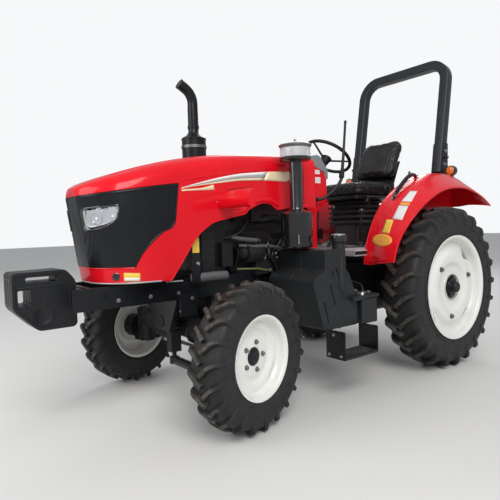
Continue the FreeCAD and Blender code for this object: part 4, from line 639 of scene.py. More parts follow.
def hexBolt(name, size, high, finish, washer=True):
    # a bolt head with its washer, standing on the XZ plane and pointing along +Y
    base = high * 0.24 if washer else 0.0
    shape = bmesh.new()
    rings = [(base, size * 0.94), (base + high * 0.66, size * 0.94), (base + high * 0.76, size * 0.80)]
    loops = []
    for y, r in rings:
        loops.append([shape.verts.new((r * math.sin(k * math.pi / 3), y, r * math.cos(k * math.pi / 3))) for k in range(6)])
    for lower, upper in zip(loops, loops[1:]):
        for k in range(6):
            shape.faces.new((lower[k], lower[(k + 1) % 6], upper[(k + 1) % 6], upper[k]))
    shape.faces.new(loops[-1])
    shape.faces.new(loops[0][::-1])
    if washer:
        disc = [(0.0, size * 1.2), (high * 0.2, size * 1.2), (high * 0.24, size * 1.08)]
        loops = []
        for y, r in disc:
            loops.append([shape.verts.new((r * math.sin(k * math.pi / 8), y, r * math.cos(k * math.pi / 8)))
                          for k in range(16)])
        for lower, upper in zip(loops, loops[1:]):
            for k in range(16):
                shape.faces.new((lower[k], lower[(k + 1) % 16], upper[(k + 1) % 16], upper[k]))
        shape.faces.new(loops[-1])
    mesh = bpy.data.meshes.new(name)
    shape.to_mesh(mesh)
    shape.free()
    piece = newPiece(name, mesh)
    tidyShape(piece, finish, 30)
    return piece


def makeRim(name, rim, finish):
    line = rim["line"] + [(-y, r) for y, r in rim["line"][-2::-1]]
    barrel = meshPiece(name, *spun(thickened(line, rim["thick"]), rim["sides"]), finish, 40)
    parts = [barrel, makeDisc(name + "_disc", rim, finish)]
    bolt = hexBolt(name + "_bolt", rim["boltSize"], rim["boltSize"] * 1.1, "bolt steel")
    placed(bolt, Matrix.Rotation(math.radians(rim["boltTurn"]), 4, "Y")
           @ Matrix.Translation((0, rim["half"] - rim["boltDepth"], rim["boltReach"])))
    parts.append(repeated(bolt, rim["bolts"], turn=(0, 2 * math.pi / rim["bolts"], 0)))
    return joined(name, parts)


# Columns: across from the wheel's middle, radius
rearHubLine = [(0.030, 0.0), (0.030, 0.088), (0.060, 0.088), (0.064, 0.080), (0.072, 0.066), (0.090, 0.062),
               (0.096, 0.058), (0.096, 0.044), (0.100, 0.040), (0.128, 0.038), (0.133, 0.034), (0.133, 0.0)]
frontHubLine = [(0.008, 0.0), (0.008, 0.048), (0.020, 0.048), (0.023, 0.046), (0.027, 0.040), (0.029, 0.030),
                (0.0295, 0.020), (0.030, 0.0)]

for spot, matrix in wheelSpots.items():
    end, side = spot.split("_")
    rear = end == "rear"
    tyre, rim = (rearTyre, rearRim) if rear else (frontTyre, frontRim)
    axis = matrix.to_3x3() @ Vector((0, 1, 0))
    rubber = rubberFinish(f"{spot} rubber", matrix.to_translation(), axis, tyre)
    body = f"{end}_wheel_{side}"
    settle(placed(makeTyre(f"{spot}_tyre_rubber", tyre, rubber), matrix), body, f"{end}_tyre_{side}")
    wheel = makeRim(f"{spot}_wheel_disc", rim, "white wheel paint")
    hub = meshPiece(f"{spot}_hub", *spun(rearHubLine if rear else frontHubLine, 48, closed=False), "black paint", 30)
    placed(hub, matrix)
    placed(wheel, matrix)
    if rear:
        settle(wheel, body, f"rear_rim_{side}")
        settle(hub, body, f"rear_hub_{side}")
    else:
        settle(joined(f"{spot}_wheel", [wheel, hub]), body, f"front_rim_{side}")
print("wheels made")

# Body pieces. Their tables are in metres from the ground under the rear axle, and toFrame moves them.
toFrame = Matrix.Translation((rearAxleX, 0, 0))


def keptMesh(piece):
    # the piece with its modifiers worked out and taken off
    bpy.context.view_layer.update()
    ready = piece.evaluated_get(bpy.context.evaluated_depsgraph_get())
    mesh = bpy.data.meshes.new_from_object(ready)
    piece.modifiers.clear()
    piece.data = mesh
    return piece


def rounded(piece, width, segments=2, angle=28.0):
    bevel = piece.modifiers.new("edges", "BEVEL")
    bevel.width = width
    bevel.segments = segments
    bevel.limit_method = "ANGLE"
    bevel.angle_limit = math.radians(angle)
    bevel.harden_normals = True
    return keptMesh(piece)


def nodeCopy(node, finish):
    source = cadNodes[node]
    shape = bmesh.new()
    shape.from_mesh(source.data)
    bmesh.ops.remove_doubles(shape, verts=shape.verts, dist=1e-5)
    bmesh.ops.dissolve_limit(shape, angle_limit=math.radians(1.0), verts=shape.verts, edges=shape.edges)
    mesh = bpy.data.meshes.new(node)
    shape.to_mesh(mesh)
    shape.free()
    mesh.transform(source.matrix_world)
    piece = newPiece(node + "_form", mesh)
    tidyShape(piece, finish, 28)
    return piece


def softened(node, width=0.003, finish=None, segments=2):
    # a CAD node's form with rounded edges, which then stands for the node
    piece = nodeCopy(node, finish or slotFinish[nodeSlot[node]])
    return settle(rounded(piece, width, segments), nodeBody[node], node)


def extruded(name, outline, low, high, finish, axis="y", sharp=35.0):
    # a plate from an outline: (x, z) pairs go along Y, (y, z) along X and (x, y) along Z
    order = {"y": lambda a, b, t: (a, t, b), "x": lambda a, b, t: (t, a, b), "z": lambda a, b, t: (a, b, t)}[axis]
    count = len(outline)
    verts = [order(a, b, t) for t in (low, high) for a, b in outline]
    faces = [tuple(range(count)), tuple(range(count, 2 * count))[::-1]]
    faces += [(k, (k + 1) % count, count + (k + 1) % count, count + k) for k in range(count)]
    return meshPiece(name, verts, faces, finish, sharp)


def roundedOutline(points, radius, steps=5):
    # corners of an outline turned into arcs, as far as their sides allow
    result = []
    count = len(points)
    for i, point in enumerate(points):
        here, before, after = Vector(point), Vector(points[i - 1]), Vector(points[(i + 1) % count])
        back, ahead = before - here, after - here
        reach = min(radius, 0.45 * back.length, 0.45 * ahead.length)
        start, end = here + back.normalized() * reach, here + ahead.normalized() * reach
        for k in range(steps + 1):
            t = k / steps
            result.append(tuple(start * (1 - t) ** 2 + here * (2 * t * (1 - t)) + end * t * t))
    return result


def swept(name, points, radius, finish, sides=10, steps=5, flat=1.0):
    # a round bar along a smooth line; radius is one number or one for each point
    widths = radius if isinstance(radius, (list, tuple)) else [radius] * len(points)
    rows = smoothRow([(*p, r) for p, r in zip(points, widths)], steps)
    line = [Vector(row[:3]) for row in rows]
    verts, faces = [], []
    side = None
    for i, row in enumerate(rows):
        way = (line[min(i + 1, len(line) - 1)] - line[max(i - 1, 0)]).normalized()
        if side is None:
            side = way.cross(Vector((0, 0, 1)) if abs(way.z) < 0.9 else Vector((0, 1, 0)))
        side = (side - way * side.dot(way)).normalized()
        other = way.cross(side)
        for k in range(sides):
            angle = 2 * math.pi * k / sides
            verts.append(line[i] + (side * math.cos(angle) + other * math.sin(angle) * flat) * row[3])
    for i in range(len(rows) - 1):
        for k in range(sides):
            j = (k + 1) % sides
            faces.append((i * sides + k, i * sides + j, (i + 1) * sides + j, (i + 1) * sides + k))
    faces += [tuple(range(sides)), tuple((len(rows) - 1) * sides + k for k in range(sides))]
    return meshPiece(name, verts, faces, finish, 40)


def turnedAlong(name, start, way, profile, sides, finish, sharp=35.0, closed=False):
    # a turned form: (along, radius) pairs from a start point along a direction
    piece = meshPiece(name, *spun(profile, sides, closed=closed), finish, sharp)
    turn = Vector((0, 1, 0)).rotation_difference(Vector(way).normalized()).to_matrix().to_4x4()
    return placed(piece, Matrix.Translation(Vector(start)) @ turn)


def blockPiece(name, low, high, finish, bevel=0.004, segments=2):
    (x0, y0, z0), (x1, y1, z1) = low, high
    piece = extruded(name, [(x0, z0), (x1, z0), (x1, z1), (x0, z1)], y0, y1, finish)
    return rounded(piece, bevel, segments) if bevel else piece


def boltAt(name, spot, way, size, finish="bolt steel"):
    bolt = hexBolt(name, size, size * 1.1, finish)
    turn = Vector((0, 1, 0)).rotation_difference(Vector(way).normalized()).to_matrix().to_4x4()
    return placed(bolt, Matrix.Translation(Vector(spot)) @ turn)


def grouped(name, pieces, body, *stoodFor, slot=None):
    # one piece from several, moved into the frame
    return settle(placed(joined(name, pieces), toFrame), body, *stoodFor, slot=slot)


# Bonnet
bonnetLook = {
    "high": 1.551, "half": 0.310, "wall": 0.005, "foot": 0.600, "panelHalf": 0.172, "panelRise": 0.006,
    "steps": 7, "maskGap": 0.0022,
    # Columns: ahead of the rear axle, share of the half width, fall of the top, shoulder radius, lean of the foot
    "rows": [
        (0.950, 0.980, 0.0, 0.085, 0.0), (1.320, 0.993, 0.015, 0.090, 0.0), (1.676, 1.0, 0.038, 0.095, 0.0),
        (1.940, 0.998, 0.076, 0.098, 0.004), (2.150, 0.990, 0.123, 0.100, 0.010), (2.270, 0.940, 0.158, 0.100, 0.040),
        (2.360, 0.845, 0.187, 0.095, 0.060), (2.440, 0.650, 0.214, 0.085, 0.080), (2.488, 0.420, 0.235, 0.065, 0.095),
        (2.505, 0.250, 0.245, 0.050, 0.100),
    ],
    "lowerEdge": [
        (1.180, 1.190), (1.295, 1.178), (1.318, 1.188), (1.362, 1.214), (1.420, 1.219), (1.470, 1.207),
        (1.534, 1.178), (1.567, 1.152), (1.640, 1.137), (1.716, 1.123), (1.786, 1.107), (1.830, 1.086),
        (1.912, 1.024), (1.995, 0.912), (2.079, 0.799), (2.090, 0.797), (2.700, 0.797),
    ],
    "maskEdge": [
        (2.017, 1.326), (2.032, 1.211), (2.052, 1.100), (2.112, 1.067), (2.165, 1.028), (2.205, 0.988),
        (2.243, 0.942), (2.276, 0.880), (2.700, 0.880), (2.700, 1.250), (2.508, 1.262), (2.309, 1.287),
    ],
    "lampEdge": [
        (2.345, 1.211), (2.342, 1.180), (2.359, 1.127), (2.394, 1.096), (2.441, 1.083), (2.4735, 1.0765),
        (2.4915, 1.1955), (2.419, 1.207),
    ],
}


def bonnetSection(row, inset, look):
    # one section from the left foot over the top to the right foot
    x, share, fall, shoulder, lean = row
    half = share * look["half"] - inset
    top = look["high"] - fall - inset
    bend = max(shoulder - inset, 0.01)
    left = [(x - lean, half, look["foot"]), (x - lean * 0.5, half, (look["foot"] + top - bend) / 2)]
    for k in range(13):
        turn = math.radians(90 * k / 12)
        left.append((x, half - bend * (1 - math.cos(turn)), top - bend * (1 - math.sin(turn))))
    panel = min(look["panelHalf"], half - bend - 0.012)
    rise = look["panelRise"] * min(1.0, max(0.0, panel / look["panelHalf"])) if panel > 0.02 else 0.0
    edge = max(panel, 0.4 * (half - bend))
    left += [(x, edge + 0.008, top), (x, edge, top + rise), (x, edge * 0.5, top + rise * 1.15)]
    return left + [(x, 0.0, top + rise * 1.2)] + [(a, -b, c) for a, b, c in left[::-1]]


def bonnetSolid(name, inset, look):
    rows = smoothRow(look["rows"], look["steps"])
    verts, faces = [], []
    for row in rows:
        back = inset if row[0] > 2.4 else 0.0
        verts += bonnetSection((row[0] - back, *row[1:]), inset, look)
    wide = len(verts) // len(rows)
    if inset:
        verts = [(x - (0.06 if x < 0.951 else 0.0), y, z - (0.05 if z <= look["foot"] else 0.0)) for x, y, z in verts]
    for i in range(len(rows) - 1):
        for k in range(wide):
            j = (k + 1) % wide
            faces.append((i * wide + k, i * wide + j, (i + 1) * wide + j, (i + 1) * wide + k))
    faces += [tuple(range(wide)), tuple((len(rows) - 1) * wide + k for k in range(wide))]
    return meshPiece(name, verts, faces, "red paint", 30)


def cut(piece, tool, operation="DIFFERENCE", keepTool=False):
    boolean = piece.modifiers.new("cut", "BOOLEAN")
    boolean.object = tool
    boolean.operation = operation
    boolean.solver = "EXACT"
    keptMesh(piece)
    if not keepTool:
        bpy.data.objects.remove(tool)
    return piece


def sideCut(name, outline):
    return extruded(name, outline, -0.6, 0.6, "red paint")


def grownOutline(points, by):
    middle = sum((Vector(p) for p in points), Vector((0, 0))) / len(points)
    return [tuple(middle + (Vector(p) - middle) * (1 + by / (Vector(p) - middle).length)) for p in points]


def smoothOpen(points, steps=4):
    return smoothRow(points, steps)


def bonnetShell(look):
    lower = smoothOpen(look["lowerEdge"][:-1], 3) + [look["lowerEdge"][-1]]
    shell = cut(bonnetSolid("bonnet_shell", 0.0, look), bonnetSolid("bonnet_hollow", look["wall"], look))
    under = [(0.88, 1.195), (1.170, 1.195)] + lower + [(2.70, 0.50), (0.88, 0.50)]
    return cut(shell, sideCut("under", under))


def maskOutline(look, by=0.0):
    outline = look["maskEdge"]
    smooth = smoothOpen(outline[:8], 4) + outline[8:11] + [(2.412, 1.2745)] + [outline[11], (2.16, 1.308)]
    return grownOutline(smooth, by) if by else smooth


def copyOf(piece, name):
    twin = newPiece(name, piece.data.copy())
    return twin


def surfaceTree(pieces):
    shape = bmesh.new()
    for piece in pieces:
        shape.from_mesh(piece.data)
    tree = BVHTree.FromBMesh(shape)
    shape.free()
    return tree


def onSide(points, target, lift, sign=1):
    # points (x, z) carried across onto the outer side of a piece
    tree = surfaceTree([target])
    found = []
    for x, z in points:
        spot, normal, index, far = tree.ray_cast(Vector((x, 0.9 * sign, z)), Vector((0, -sign, 0)))
        if spot is None:
            found.append(None)
        else:
            found.append(spot + (normal if normal.y * sign > 0 else -normal) * lift)
    return found


def sticker(name, low, high, target, lift, finish, sign=1, rows=3):
    # a thin strip on the side of a piece, between two lines of (x, z) points with as many points each
    verts, count = [], len(low)
    for k in range(rows + 1):
        t = k / rows
        line = [(a[0] + (b[0] - a[0]) * t, a[1] + (b[1] - a[1]) * t) for a, b in zip(low, high)]
        verts += onSide(line, target, lift, sign)
    faces = []
    for k in range(rows):
        for i in range(count - 1):
            corners = (k * count + i, k * count + i + 1, (k + 1) * count + i + 1, (k + 1) * count + i)
            if all(verts[c] is not None for c in corners):
                faces.append(corners)
    kept = [v if v is not None else Vector((0, 0, 0)) for v in verts]
    piece = meshPiece(name, kept, faces, finish, 60)
    shape = bmesh.new()
    shape.from_mesh(piece.data)
    bmesh.ops.delete(shape, geom=[v for v in shape.verts if not v.link_faces], context="VERTS")
    for face in shape.faces:
        if face.normal.y * sign < 0:
            face.normal_flip()
    shape.to_mesh(piece.data)
    shape.free()
    thick = piece.modifiers.new("thick", "SOLIDIFY")
    thick.thickness = 0.0006
    thick.offset = 1.0
    return keptMesh(piece)


def beadOn(name, points, target, radius, finish, sign=1, lift=0.0, steps=4):
    # a half-sunk round bead along (x, z) points on the side of a piece
    spots = [p for p in onSide(smoothRow(points, steps), target, lift, sign) if p is not None]
    return swept(name, spots, radius, finish, sides=8, steps=1)


def ribOn(name, points, target, wide, high, finish, sign=1):
    # a pressed rib: a low lens-shaped ridge along (x, z) points
    spots = [p for p in onSide(smoothRow(points, 5), target, 0.0, sign) if p is not None]
    widths = [wide * math.sin(math.pi * min(1.0, (i + 0.6) / (len(spots) * 0.16 + 1) * 0.5)) if i < len(spots) * 0.16
              else wide * min(1.0, (len(spots) - 0.4 - i) / (len(spots) * 0.16 + 1)) for i in range(len(spots))]
    widths = [max(w, wide * 0.12) for w in widths]
    piece = swept(name, spots, widths, finish, sides=12, steps=1)
    for vert in piece.data.vertices:
        base = min(spots, key=lambda s: (s - vert.co).length)
        vert.co.y = base.y + (vert.co.y - base.y) * high / wide
    return piece


# Stripes on the bonnet's side: lines of (x, z)
stripeTop = [(2.078, 1.280), (1.974, 1.309), (1.906, 1.328), (1.766, 1.363), (1.636, 1.389), (1.542, 1.402),
             (1.378, 1.417), (1.250, 1.424), (1.125, 1.429)]
stripeLow = [(2.076, 1.278), (1.981, 1.300), (1.914, 1.312), (1.788, 1.329), (1.700, 1.341), (1.590, 1.354),
             (1.412, 1.362), (1.300, 1.361), (1.215, 1.361)]
stripeLook = {
    # Columns: share of the height where the colour starts and ends, finish
    "bands": [(0.62, 1.0, "white stripe"), (0.30, 0.62, "grey stripe"), (0.0, 0.30, "cream stripe")],
    "changeAt": 6, "lift": 0.0009,
    "wedgeTop": [(2.060, 1.279), (1.981, 1.293), (1.885, 1.301), (1.830, 1.313), (1.790, 1.325)],
    "wedgeLow": [(2.058, 1.277), (1.976, 1.284), (1.885, 1.290), (1.828, 1.292), (1.782, 1.295)],
}
ventOutline = [(1.730, 1.286), (1.693, 1.287), (1.694, 1.268), (1.714, 1.246), (1.721, 1.216), (1.716, 1.186),
               (1.752, 1.184), (1.765, 1.202), (1.763, 1.236), (1.748, 1.266)]


def between(low, high, share):
    return [(a[0] + (b[0] - a[0]) * share, a[1] + (b[1] - a[1]) * share) for a, b in zip(low, high)]


def bonnetSide(shell, sign, look):
    parts = []
    lift = stripeLook["lift"]
    top, low = smoothRow(stripeTop, 4), smoothRow(stripeLow, 4)
    change = stripeLook["changeAt"] * 4
    for start, end, finish in stripeLook["bands"]:
        parts.append(sticker("stripe", between(low, top, start)[:change + 1], between(low, top, end)[:change + 1],
                             shell, lift, finish, sign, 2))
    parts.append(sticker("stripe", low[change:], top[change:], shell, lift, "cream stripe", sign, 4))
    wedgeLow, wedgeTop = smoothRow(stripeLook["wedgeLow"], 4), smoothRow(stripeLook["wedgeTop"], 4)
    parts.append(sticker("stripe", wedgeLow, wedgeTop, shell, lift, "cream stripe", sign, 2))
    lower = [p for p in smoothOpen(look["lowerEdge"][:-1], 3)]
    parts.append(beadOn("lip", [(x, z + 0.004) for x, z in lower[:-2]], shell, 0.0045, "red paint", sign, -0.001, 1))
    arch = [(1.290, 1.200), (1.330, 1.226), (1.372, 1.240), (1.425, 1.244), (1.480, 1.232), (1.545, 1.204),
            (1.580, 1.176), (1.650, 1.160)]
    parts.append(ribOn("arch_lip", arch, shell, 0.016, 0.007, "red paint", sign))
    for line, wide in (
        ([(1.694, 1.303), (1.600, 1.316), (1.499, 1.322)], 0.013), ([(1.740, 1.232), (1.650, 1.252), (1.566, 1.265)], 0.010),
        ([(1.725, 1.188), (1.660, 1.187), (1.597, 1.188)], 0.008), ([(1.690, 1.277), (1.620, 1.287), (1.559, 1.291)], 0.010),
    ):
        parts.append(ribOn("pressed_rib", line, shell, wide, 0.006, "red paint", sign))
    crease = [(2.012, 1.337), (1.900, 1.362), (1.755, 1.385), (1.571, 1.408), (1.400, 1.436), (1.200, 1.446), (0.975, 1.452)]
    parts.append(ribOn("crease", crease, shell, 0.010, 0.0025, "red paint", sign))
    return parts


def makeBonnet(look):
    shell = bonnetShell(look)
    outline = maskOutline(look)
    inside = copyOf(shell, "mask_part")
    cut(shell, sideCut("mask_hole", maskOutline(look, look["maskGap"])))
    mask = cut(inside, sideCut("mask_side", outline), "INTERSECT")
    lampHole = roundedOutline(look["lampEdge"], 0.012, 3)
    for sign in (1, -1):
        cut(mask, extruded("lamp_hole", grownOutline(lampHole, 0.001), 0.080 * sign, 0.6 * sign, "red paint"))
    lamps = cut(cut(bonnetSolid("lamps", 0.004, look), bonnetSolid("lamp_back", 0.030, look)),
                sideCut("lamp_side", lampHole), "INTERSECT")
    cut(lamps, blockPiece("lamp_middle", (2.300, -0.081, 1.000), (2.600, 0.081, 1.300), "red paint", 0))
    for piece, finish in ((shell, "red paint"), (mask, "mask plastic"), (lamps, "lamp pocket")):
        tidyShape(piece, finish, 28)
    target = copyOf(shell, "shell_copy")
    parts = [shell]
    vent = roundedOutline(ventOutline, 0.012, 3)
    for sign in (1, -1):
        cutter = extruded("vent_cut", vent, 0.20 * sign, 0.6 * sign, "red paint")
        cut(shell, cutter)
        tidyShape(shell, "red paint", 28)
        parts += bonnetSide(target, sign, look)
        seam = [(1.062, 1.478), (1.065, 1.312), (1.060, 1.192)]
        parts.append(beadOn("rear_seam", seam, target, 0.0024, "black plastic", sign, 0.0, 3))
        backing = extruded("vent_back", grownOutline(vent, 0.012), 0.296 * sign, 0.303 * sign, "black plastic")
        parts.append(backing)
        slats = []
        for k in range(5):
            z = 1.198 + 0.018 * k
            slats.append(blockPiece("vent_slat", (1.70, min(0.300 * sign, 0.3065 * sign), z),
                                    (1.765, max(0.300 * sign, 0.3065 * sign), z + 0.004), "black plastic", 0.0015))
        parts += slats
        bar = [(1.775, 1.221), (1.735, 1.230), (1.690, 1.240)]
        parts.append(ribOn("vent_bar", bar, target, 0.0085, 0.007, "red paint", sign))
    return target, parts, mask, lamps


def heightsAt(outline, x):
    # the lowest and the highest crossing of an outline at one x
    crossings = []
    for a, b in zip(outline, outline[1:] + outline[:1]):
        if (a[0] - x) * (b[0] - x) <= 0 and a[0] != b[0]:
            crossings.append(a[1] + (b[1] - a[1]) * (x - a[0]) / (b[0] - a[0]))
    return (min(crossings), max(crossings)) if crossings else (None, None)


def maskRibs(look, target):
    # fine upright ribs on both sides, which stop below the headlamp
    outline = maskOutline(look)
    lamp = grownOutline(look["lampEdge"], 0.012)
    ribs, steps = [], 7
    for k in range(36):
        x = 2.048 + 0.012 * k
        low, high = heightsAt(outline, x)
        under = heightsAt(lamp, x)[0]
        low, high = low + 0.010, (under - 0.004 if under else high - 0.014)
        if high - low < 0.03:
            continue
        for sign in (1, -1):
            line = [(x, low + (high - low) * n / steps) for n in range(steps + 1)]
            spots = [p for p in onSide(line, target, 0.0, sign) if p is not None]
            if len(spots) > 2:
                ribs.append(swept("mask_rib", spots, 0.0022, "mask plastic", sides=6, steps=1))
    return ribs


def maskTrim(mask, look, target):
    # the frame round the mask and its ribs
    parts = [mask] + maskRibs(look, target)
    outline = look["maskEdge"]
    edge = smoothOpen(outline[:8], 4)
    for sign in (1, -1):
        parts.append(beadOn("mask_edge", [(x + 0.006, z + 0.001) for x, z in edge], mask, 0.006, "mask plastic", sign, 0.0, 1))
        upper = [(2.026, 1.318), (2.160, 1.300), (2.309, 1.279), (2.412, 1.266), (2.480, 1.256)]
        parts.append(beadOn("mask_top", upper, mask, 0.005, "mask plastic", sign, 0.0, 4))
    return parts


def lampTrim(lamps, look, shell):
    # rims, two chrome reflectors with bulbs and a clear cover for each headlamp
    parts = [lamps]
    edge = roundedOutline(look["lampEdge"], 0.014, 3)
    edge = edge + edge[:1]
    for sign in (1, -1):
        parts.append(beadOn("lamp_rim", grownOutline(edge, -0.003), shell, 0.0048, "black gloss", sign, 0.001, 1))
        spots = onSide([(2.372, 1.150), (2.440, 1.138)], shell, -0.022, sign)
        for spot, radius in zip(spots, (0.026, 0.030)):
            if spot is None:
                continue
            way = (0.75, 0.66 * sign, 0.0)
            profile = [(-0.004, 0.0), (0.004, radius * 0.55), (0.014, radius * 0.88), (0.018, radius), (0.021, radius),
                       (0.021, radius * 1.06), (0.010, radius * 1.06), (-0.008, radius * 0.5)]
            parts.append(turnedAlong("reflector", spot, way, profile, 28, "chrome"))
            bulb = [(0.0, 0.0), (0.012, radius * 0.26), (0.018, radius * 0.28), (0.022, radius * 0.16), (0.023, 0.0)]
            parts.append(turnedAlong("bulb", spot, way, bulb, 16, "lamp glass"))
        inner = grownOutline(edge[:-1], -0.010)
        xs = sorted(p[0] for p in inner)
        lows, highs = [], []
        for k in range(13):
            x = xs[0] + 0.002 + (xs[-1] - xs[0] - 0.004) * k / 12
            low, high = heightsAt(inner, x)
            lows.append((x, low))
            highs.append((x, high))
        parts.append(sticker("lamp_cover", lows, highs, shell, -0.0035, "clear cover", sign, 6))
    return parts


target, bonnetParts, maskShell, lampShell = makeBonnet(bonnetLook)
full = cut(bonnetSolid("bonnet_full", 0.0, bonnetLook), bonnetSolid("full_back", 0.012, bonnetLook))
lampParts = lampTrim(lampShell, bonnetLook, full)
maskParts = maskTrim(maskShell, bonnetLook, full)
bpy.data.objects.remove(target)
bpy.data.objects.remove(full)
grouped("bonnet_shell_and_stripes", bonnetParts, "bonnet", "bonnet")
grouped("grille_mask_and_trim", maskParts, "bonnet", "grille_mask")
grouped("headlamp_pair", lampParts, "bonnet", "headlamps")
print("bonnet made")

# Fenders
fenderLook = {
    "inner": 0.474, "outer": 0.800, "axleHigh": 0.592, "wall": 0.005, "along": 5,
    # Columns: degrees up from straight ahead, radius of the outer edge, radius of the crown
    "rows": [
        (17, 0.808, 0.700), (27, 0.801, 0.722), (37, 0.774, 0.742), (48, 0.747, 0.765), (60, 0.732, 0.785),
        (72, 0.728, 0.803), (84, 0.728, 0.832), (98, 0.735, 0.868), (110, 0.745, 0.900), (119, 0.758, 0.908),
        (125, 0.767, 0.868), (129.5, 0.773, 0.778),
    ],
    # Columns: share of the way out, share of the way from crown to edge, rise
    "section": [(0.0, 0.0, -0.010), (0.025, 0.0, -0.003), (0.08, 0.0, 0.0), (0.21, 0.0, 0.0), (0.40, 0.17, 0.012),
                (0.58, 0.45, 0.014), (0.80, 0.74, 0.009), (0.93, 0.91, 0.004), (1.0, 1.0, 0.0)],
    "side": [(-0.420, 1.150), (0.0, 0.930), (0.300, 0.845), (0.628, 0.787)],
}


def fenderSpot(look, row, across, down, rise):
    degrees, outerR, crownR = row
    r = crownR + (outerR - crownR) * down + rise
    angle = math.radians(degrees)
    return Vector((r * math.cos(angle), look["inner"] + across * (look["outer"] - look["inner"]),
                   look["axleHigh"] + r * math.sin(angle)))


def makeFender(name, look):
    rows = smoothRow(look["rows"], look["along"])
    section = smoothRow(look["section"], 2)
    verts = [fenderSpot(look, row, *part) for row in rows for part in section]
    wide = len(section)
    faces = [(i * wide + k, i * wide + k + 1, (i + 1) * wide + k + 1, (i + 1) * wide + k)
             for i in range(len(rows) - 1) for k in range(wide - 1)]
    sheet = meshPiece(name, verts, faces, "red paint", 40)
    shape = bmesh.new()
    shape.from_mesh(sheet.data)
    for face in shape.faces:
        middle = face.calc_center_median() - Vector((0, 0, look["axleHigh"]))
        if face.normal.dot(Vector((middle.x, 0.2, middle.z))) < 0:
            face.normal_flip()
    shape.to_mesh(sheet.data)
    shape.free()
    thick = sheet.modifiers.new("thick", "SOLIDIFY")
    thick.thickness = look["wall"]
    thick.offset = -1.0
    keptMesh(sheet)
    inner = [fenderSpot(look, row, 0.0, 0.0, -0.010) for row in rows]
    outline = [(v.x, v.z) for v in inner] + look["side"]
    wall = extruded(name + "_wall", outline, look["inner"], look["inner"] + look["wall"], "red paint", sharp=40)
    lip = [fenderSpot(look, row, 1.0, 1.0, -0.003) - Vector((0, 0.004, 0)) for row in rows]
    parts = [sheet, rounded(wall, 0.0015), swept(name + "_lip", lip, 0.006, "red paint", 8, 1)]
    seam = [fenderSpot(look, row, 0.012, 0.0, -0.006) for row in rows]
    parts.append(swept(name + "_seam", seam, 0.0055, "red paint", 8, 1))
    front = [fenderSpot(look, rows[0], *part) - Vector((0, 0, 0.001)) for part in section]
    parts.append(swept(name + "_front", front, 0.005, "red paint", 8, 1))
    return parts


def photoRay(px, py):
    # a line of sight through a spot of the 500 by 500 photograph, in the tables' measures
    camera = bpy.context.scene.camera
    focal = cameraLook["lens"] / 36 * 500
    way = camera.matrix_world.to_3x3() @ Vector((px - 250, 250 - py, -focal))
    return camera.matrix_world.to_translation() - Vector((rearAxleX, 0, 0)), way.normalized()


def labelOn(name, corners, tree, finish, lift=0.0012, steps=6):
    # a blank label whose corners are spots of the photograph, laid on the surface behind them
    verts = []
    a, b, c, d = [Vector(p) for p in corners]
    for i in range(steps + 1):
        for k in range(steps + 1):
            s, t = i / steps, k / steps
            spot = (a * (1 - s) + b * s) * (1 - t) + (d * (1 - s) + c * s) * t
            hit, normal, index, far = tree.ray_cast(*photoRay(*spot))
            if hit is None:
                return []
            out = normal if normal.dot(photoRay(*spot)[1]) < 0 else -normal
            verts.append(hit + out * lift)
    wide = steps + 1
    faces = [(i * wide + k, i * wide + k + 1, (i + 1) * wide + k + 1, (i + 1) * wide + k)
             for i in range(steps) for k in range(steps)]
    return [thinPlate(meshPiece(name, verts, faces, finish, 60))]


def ovalOn(name, look, tree, lift=0.0012):
    # the same for an oval, as rings round its middle
    verts, faces, sides, rings = [], [], 32, 4
    for i in range(rings + 1):
        for k in range(sides):
            angle = 2 * math.pi * k / sides
            px = look["middle"][0] + look["half"][0] * math.cos(angle) * i / rings
            py = look["middle"][1] + look["half"][1] * math.sin(angle) * i / rings
            hit, normal, index, far = tree.ray_cast(*photoRay(px, py))
            verts.append(hit + (normal if normal.dot(photoRay(px, py)[1]) < 0 else -normal) * lift)
    for i in range(rings):
        for k in range(sides):
            j = (k + 1) % sides
            faces.append((i * sides + k, i * sides + j, (i + 1) * sides + j, (i + 1) * sides + k))
    piece = meshPiece(name, verts, faces, look["finish"], 60)
    return [thinPlate(piece)]


def thinPlate(piece):
    shape = bmesh.new()
    shape.from_mesh(piece.data)
    eye = photoRay(250, 250)[0]
    for face in shape.faces:
        if face.normal.dot(eye - face.calc_center_median()) < 0:
            face.normal_flip()
    shape.to_mesh(piece.data)
    shape.free()
    thick = piece.modifiers.new("thick", "SOLIDIFY")
    thick.thickness = 0.0008
    thick.offset = 1.0
    return keptMesh(piece)


# Columns: four spots of the photograph, finish
fenderLabels = [
    (((410.2, 191.1), (417.4, 191.4), (411.4, 201.9), (401.2, 201.5)), "white label"),
    (((400.2, 202.5), (410.2, 202.8), (409.8, 205.2), (399.4, 204.9)), "orange label"),
    (((399.0, 205.4), (408.5, 206.0), (402.0, 220.2), (392.4, 218.7)), "white label"),
    (((386.7, 219.5), (393.6, 220.0), (389.0, 233.7), (381.8, 232.8)), "yellow label"),
]
ovalLabel = {"middle": (382.2, 240.3), "half": (10.0, 6.2), "finish": "orange label"}

for side, sign in (("left", 1), ("right", -1)):
    parts = makeFender("fender", fenderLook)
    if sign < 0:
        for part in parts:
            placed(part, Matrix.Scale(-1, 4, (0, 1, 0)))
    else:
        tree = surfaceTree(parts)
        for corners, finish in fenderLabels:
            parts += labelOn("fender_label", corners, tree, finish)
        parts += ovalOn("fender_label", ovalLabel, tree)
    grouped(f"fender_{side}_sheet", parts, "chassis", f"fender_{side}")
print("fenders made")

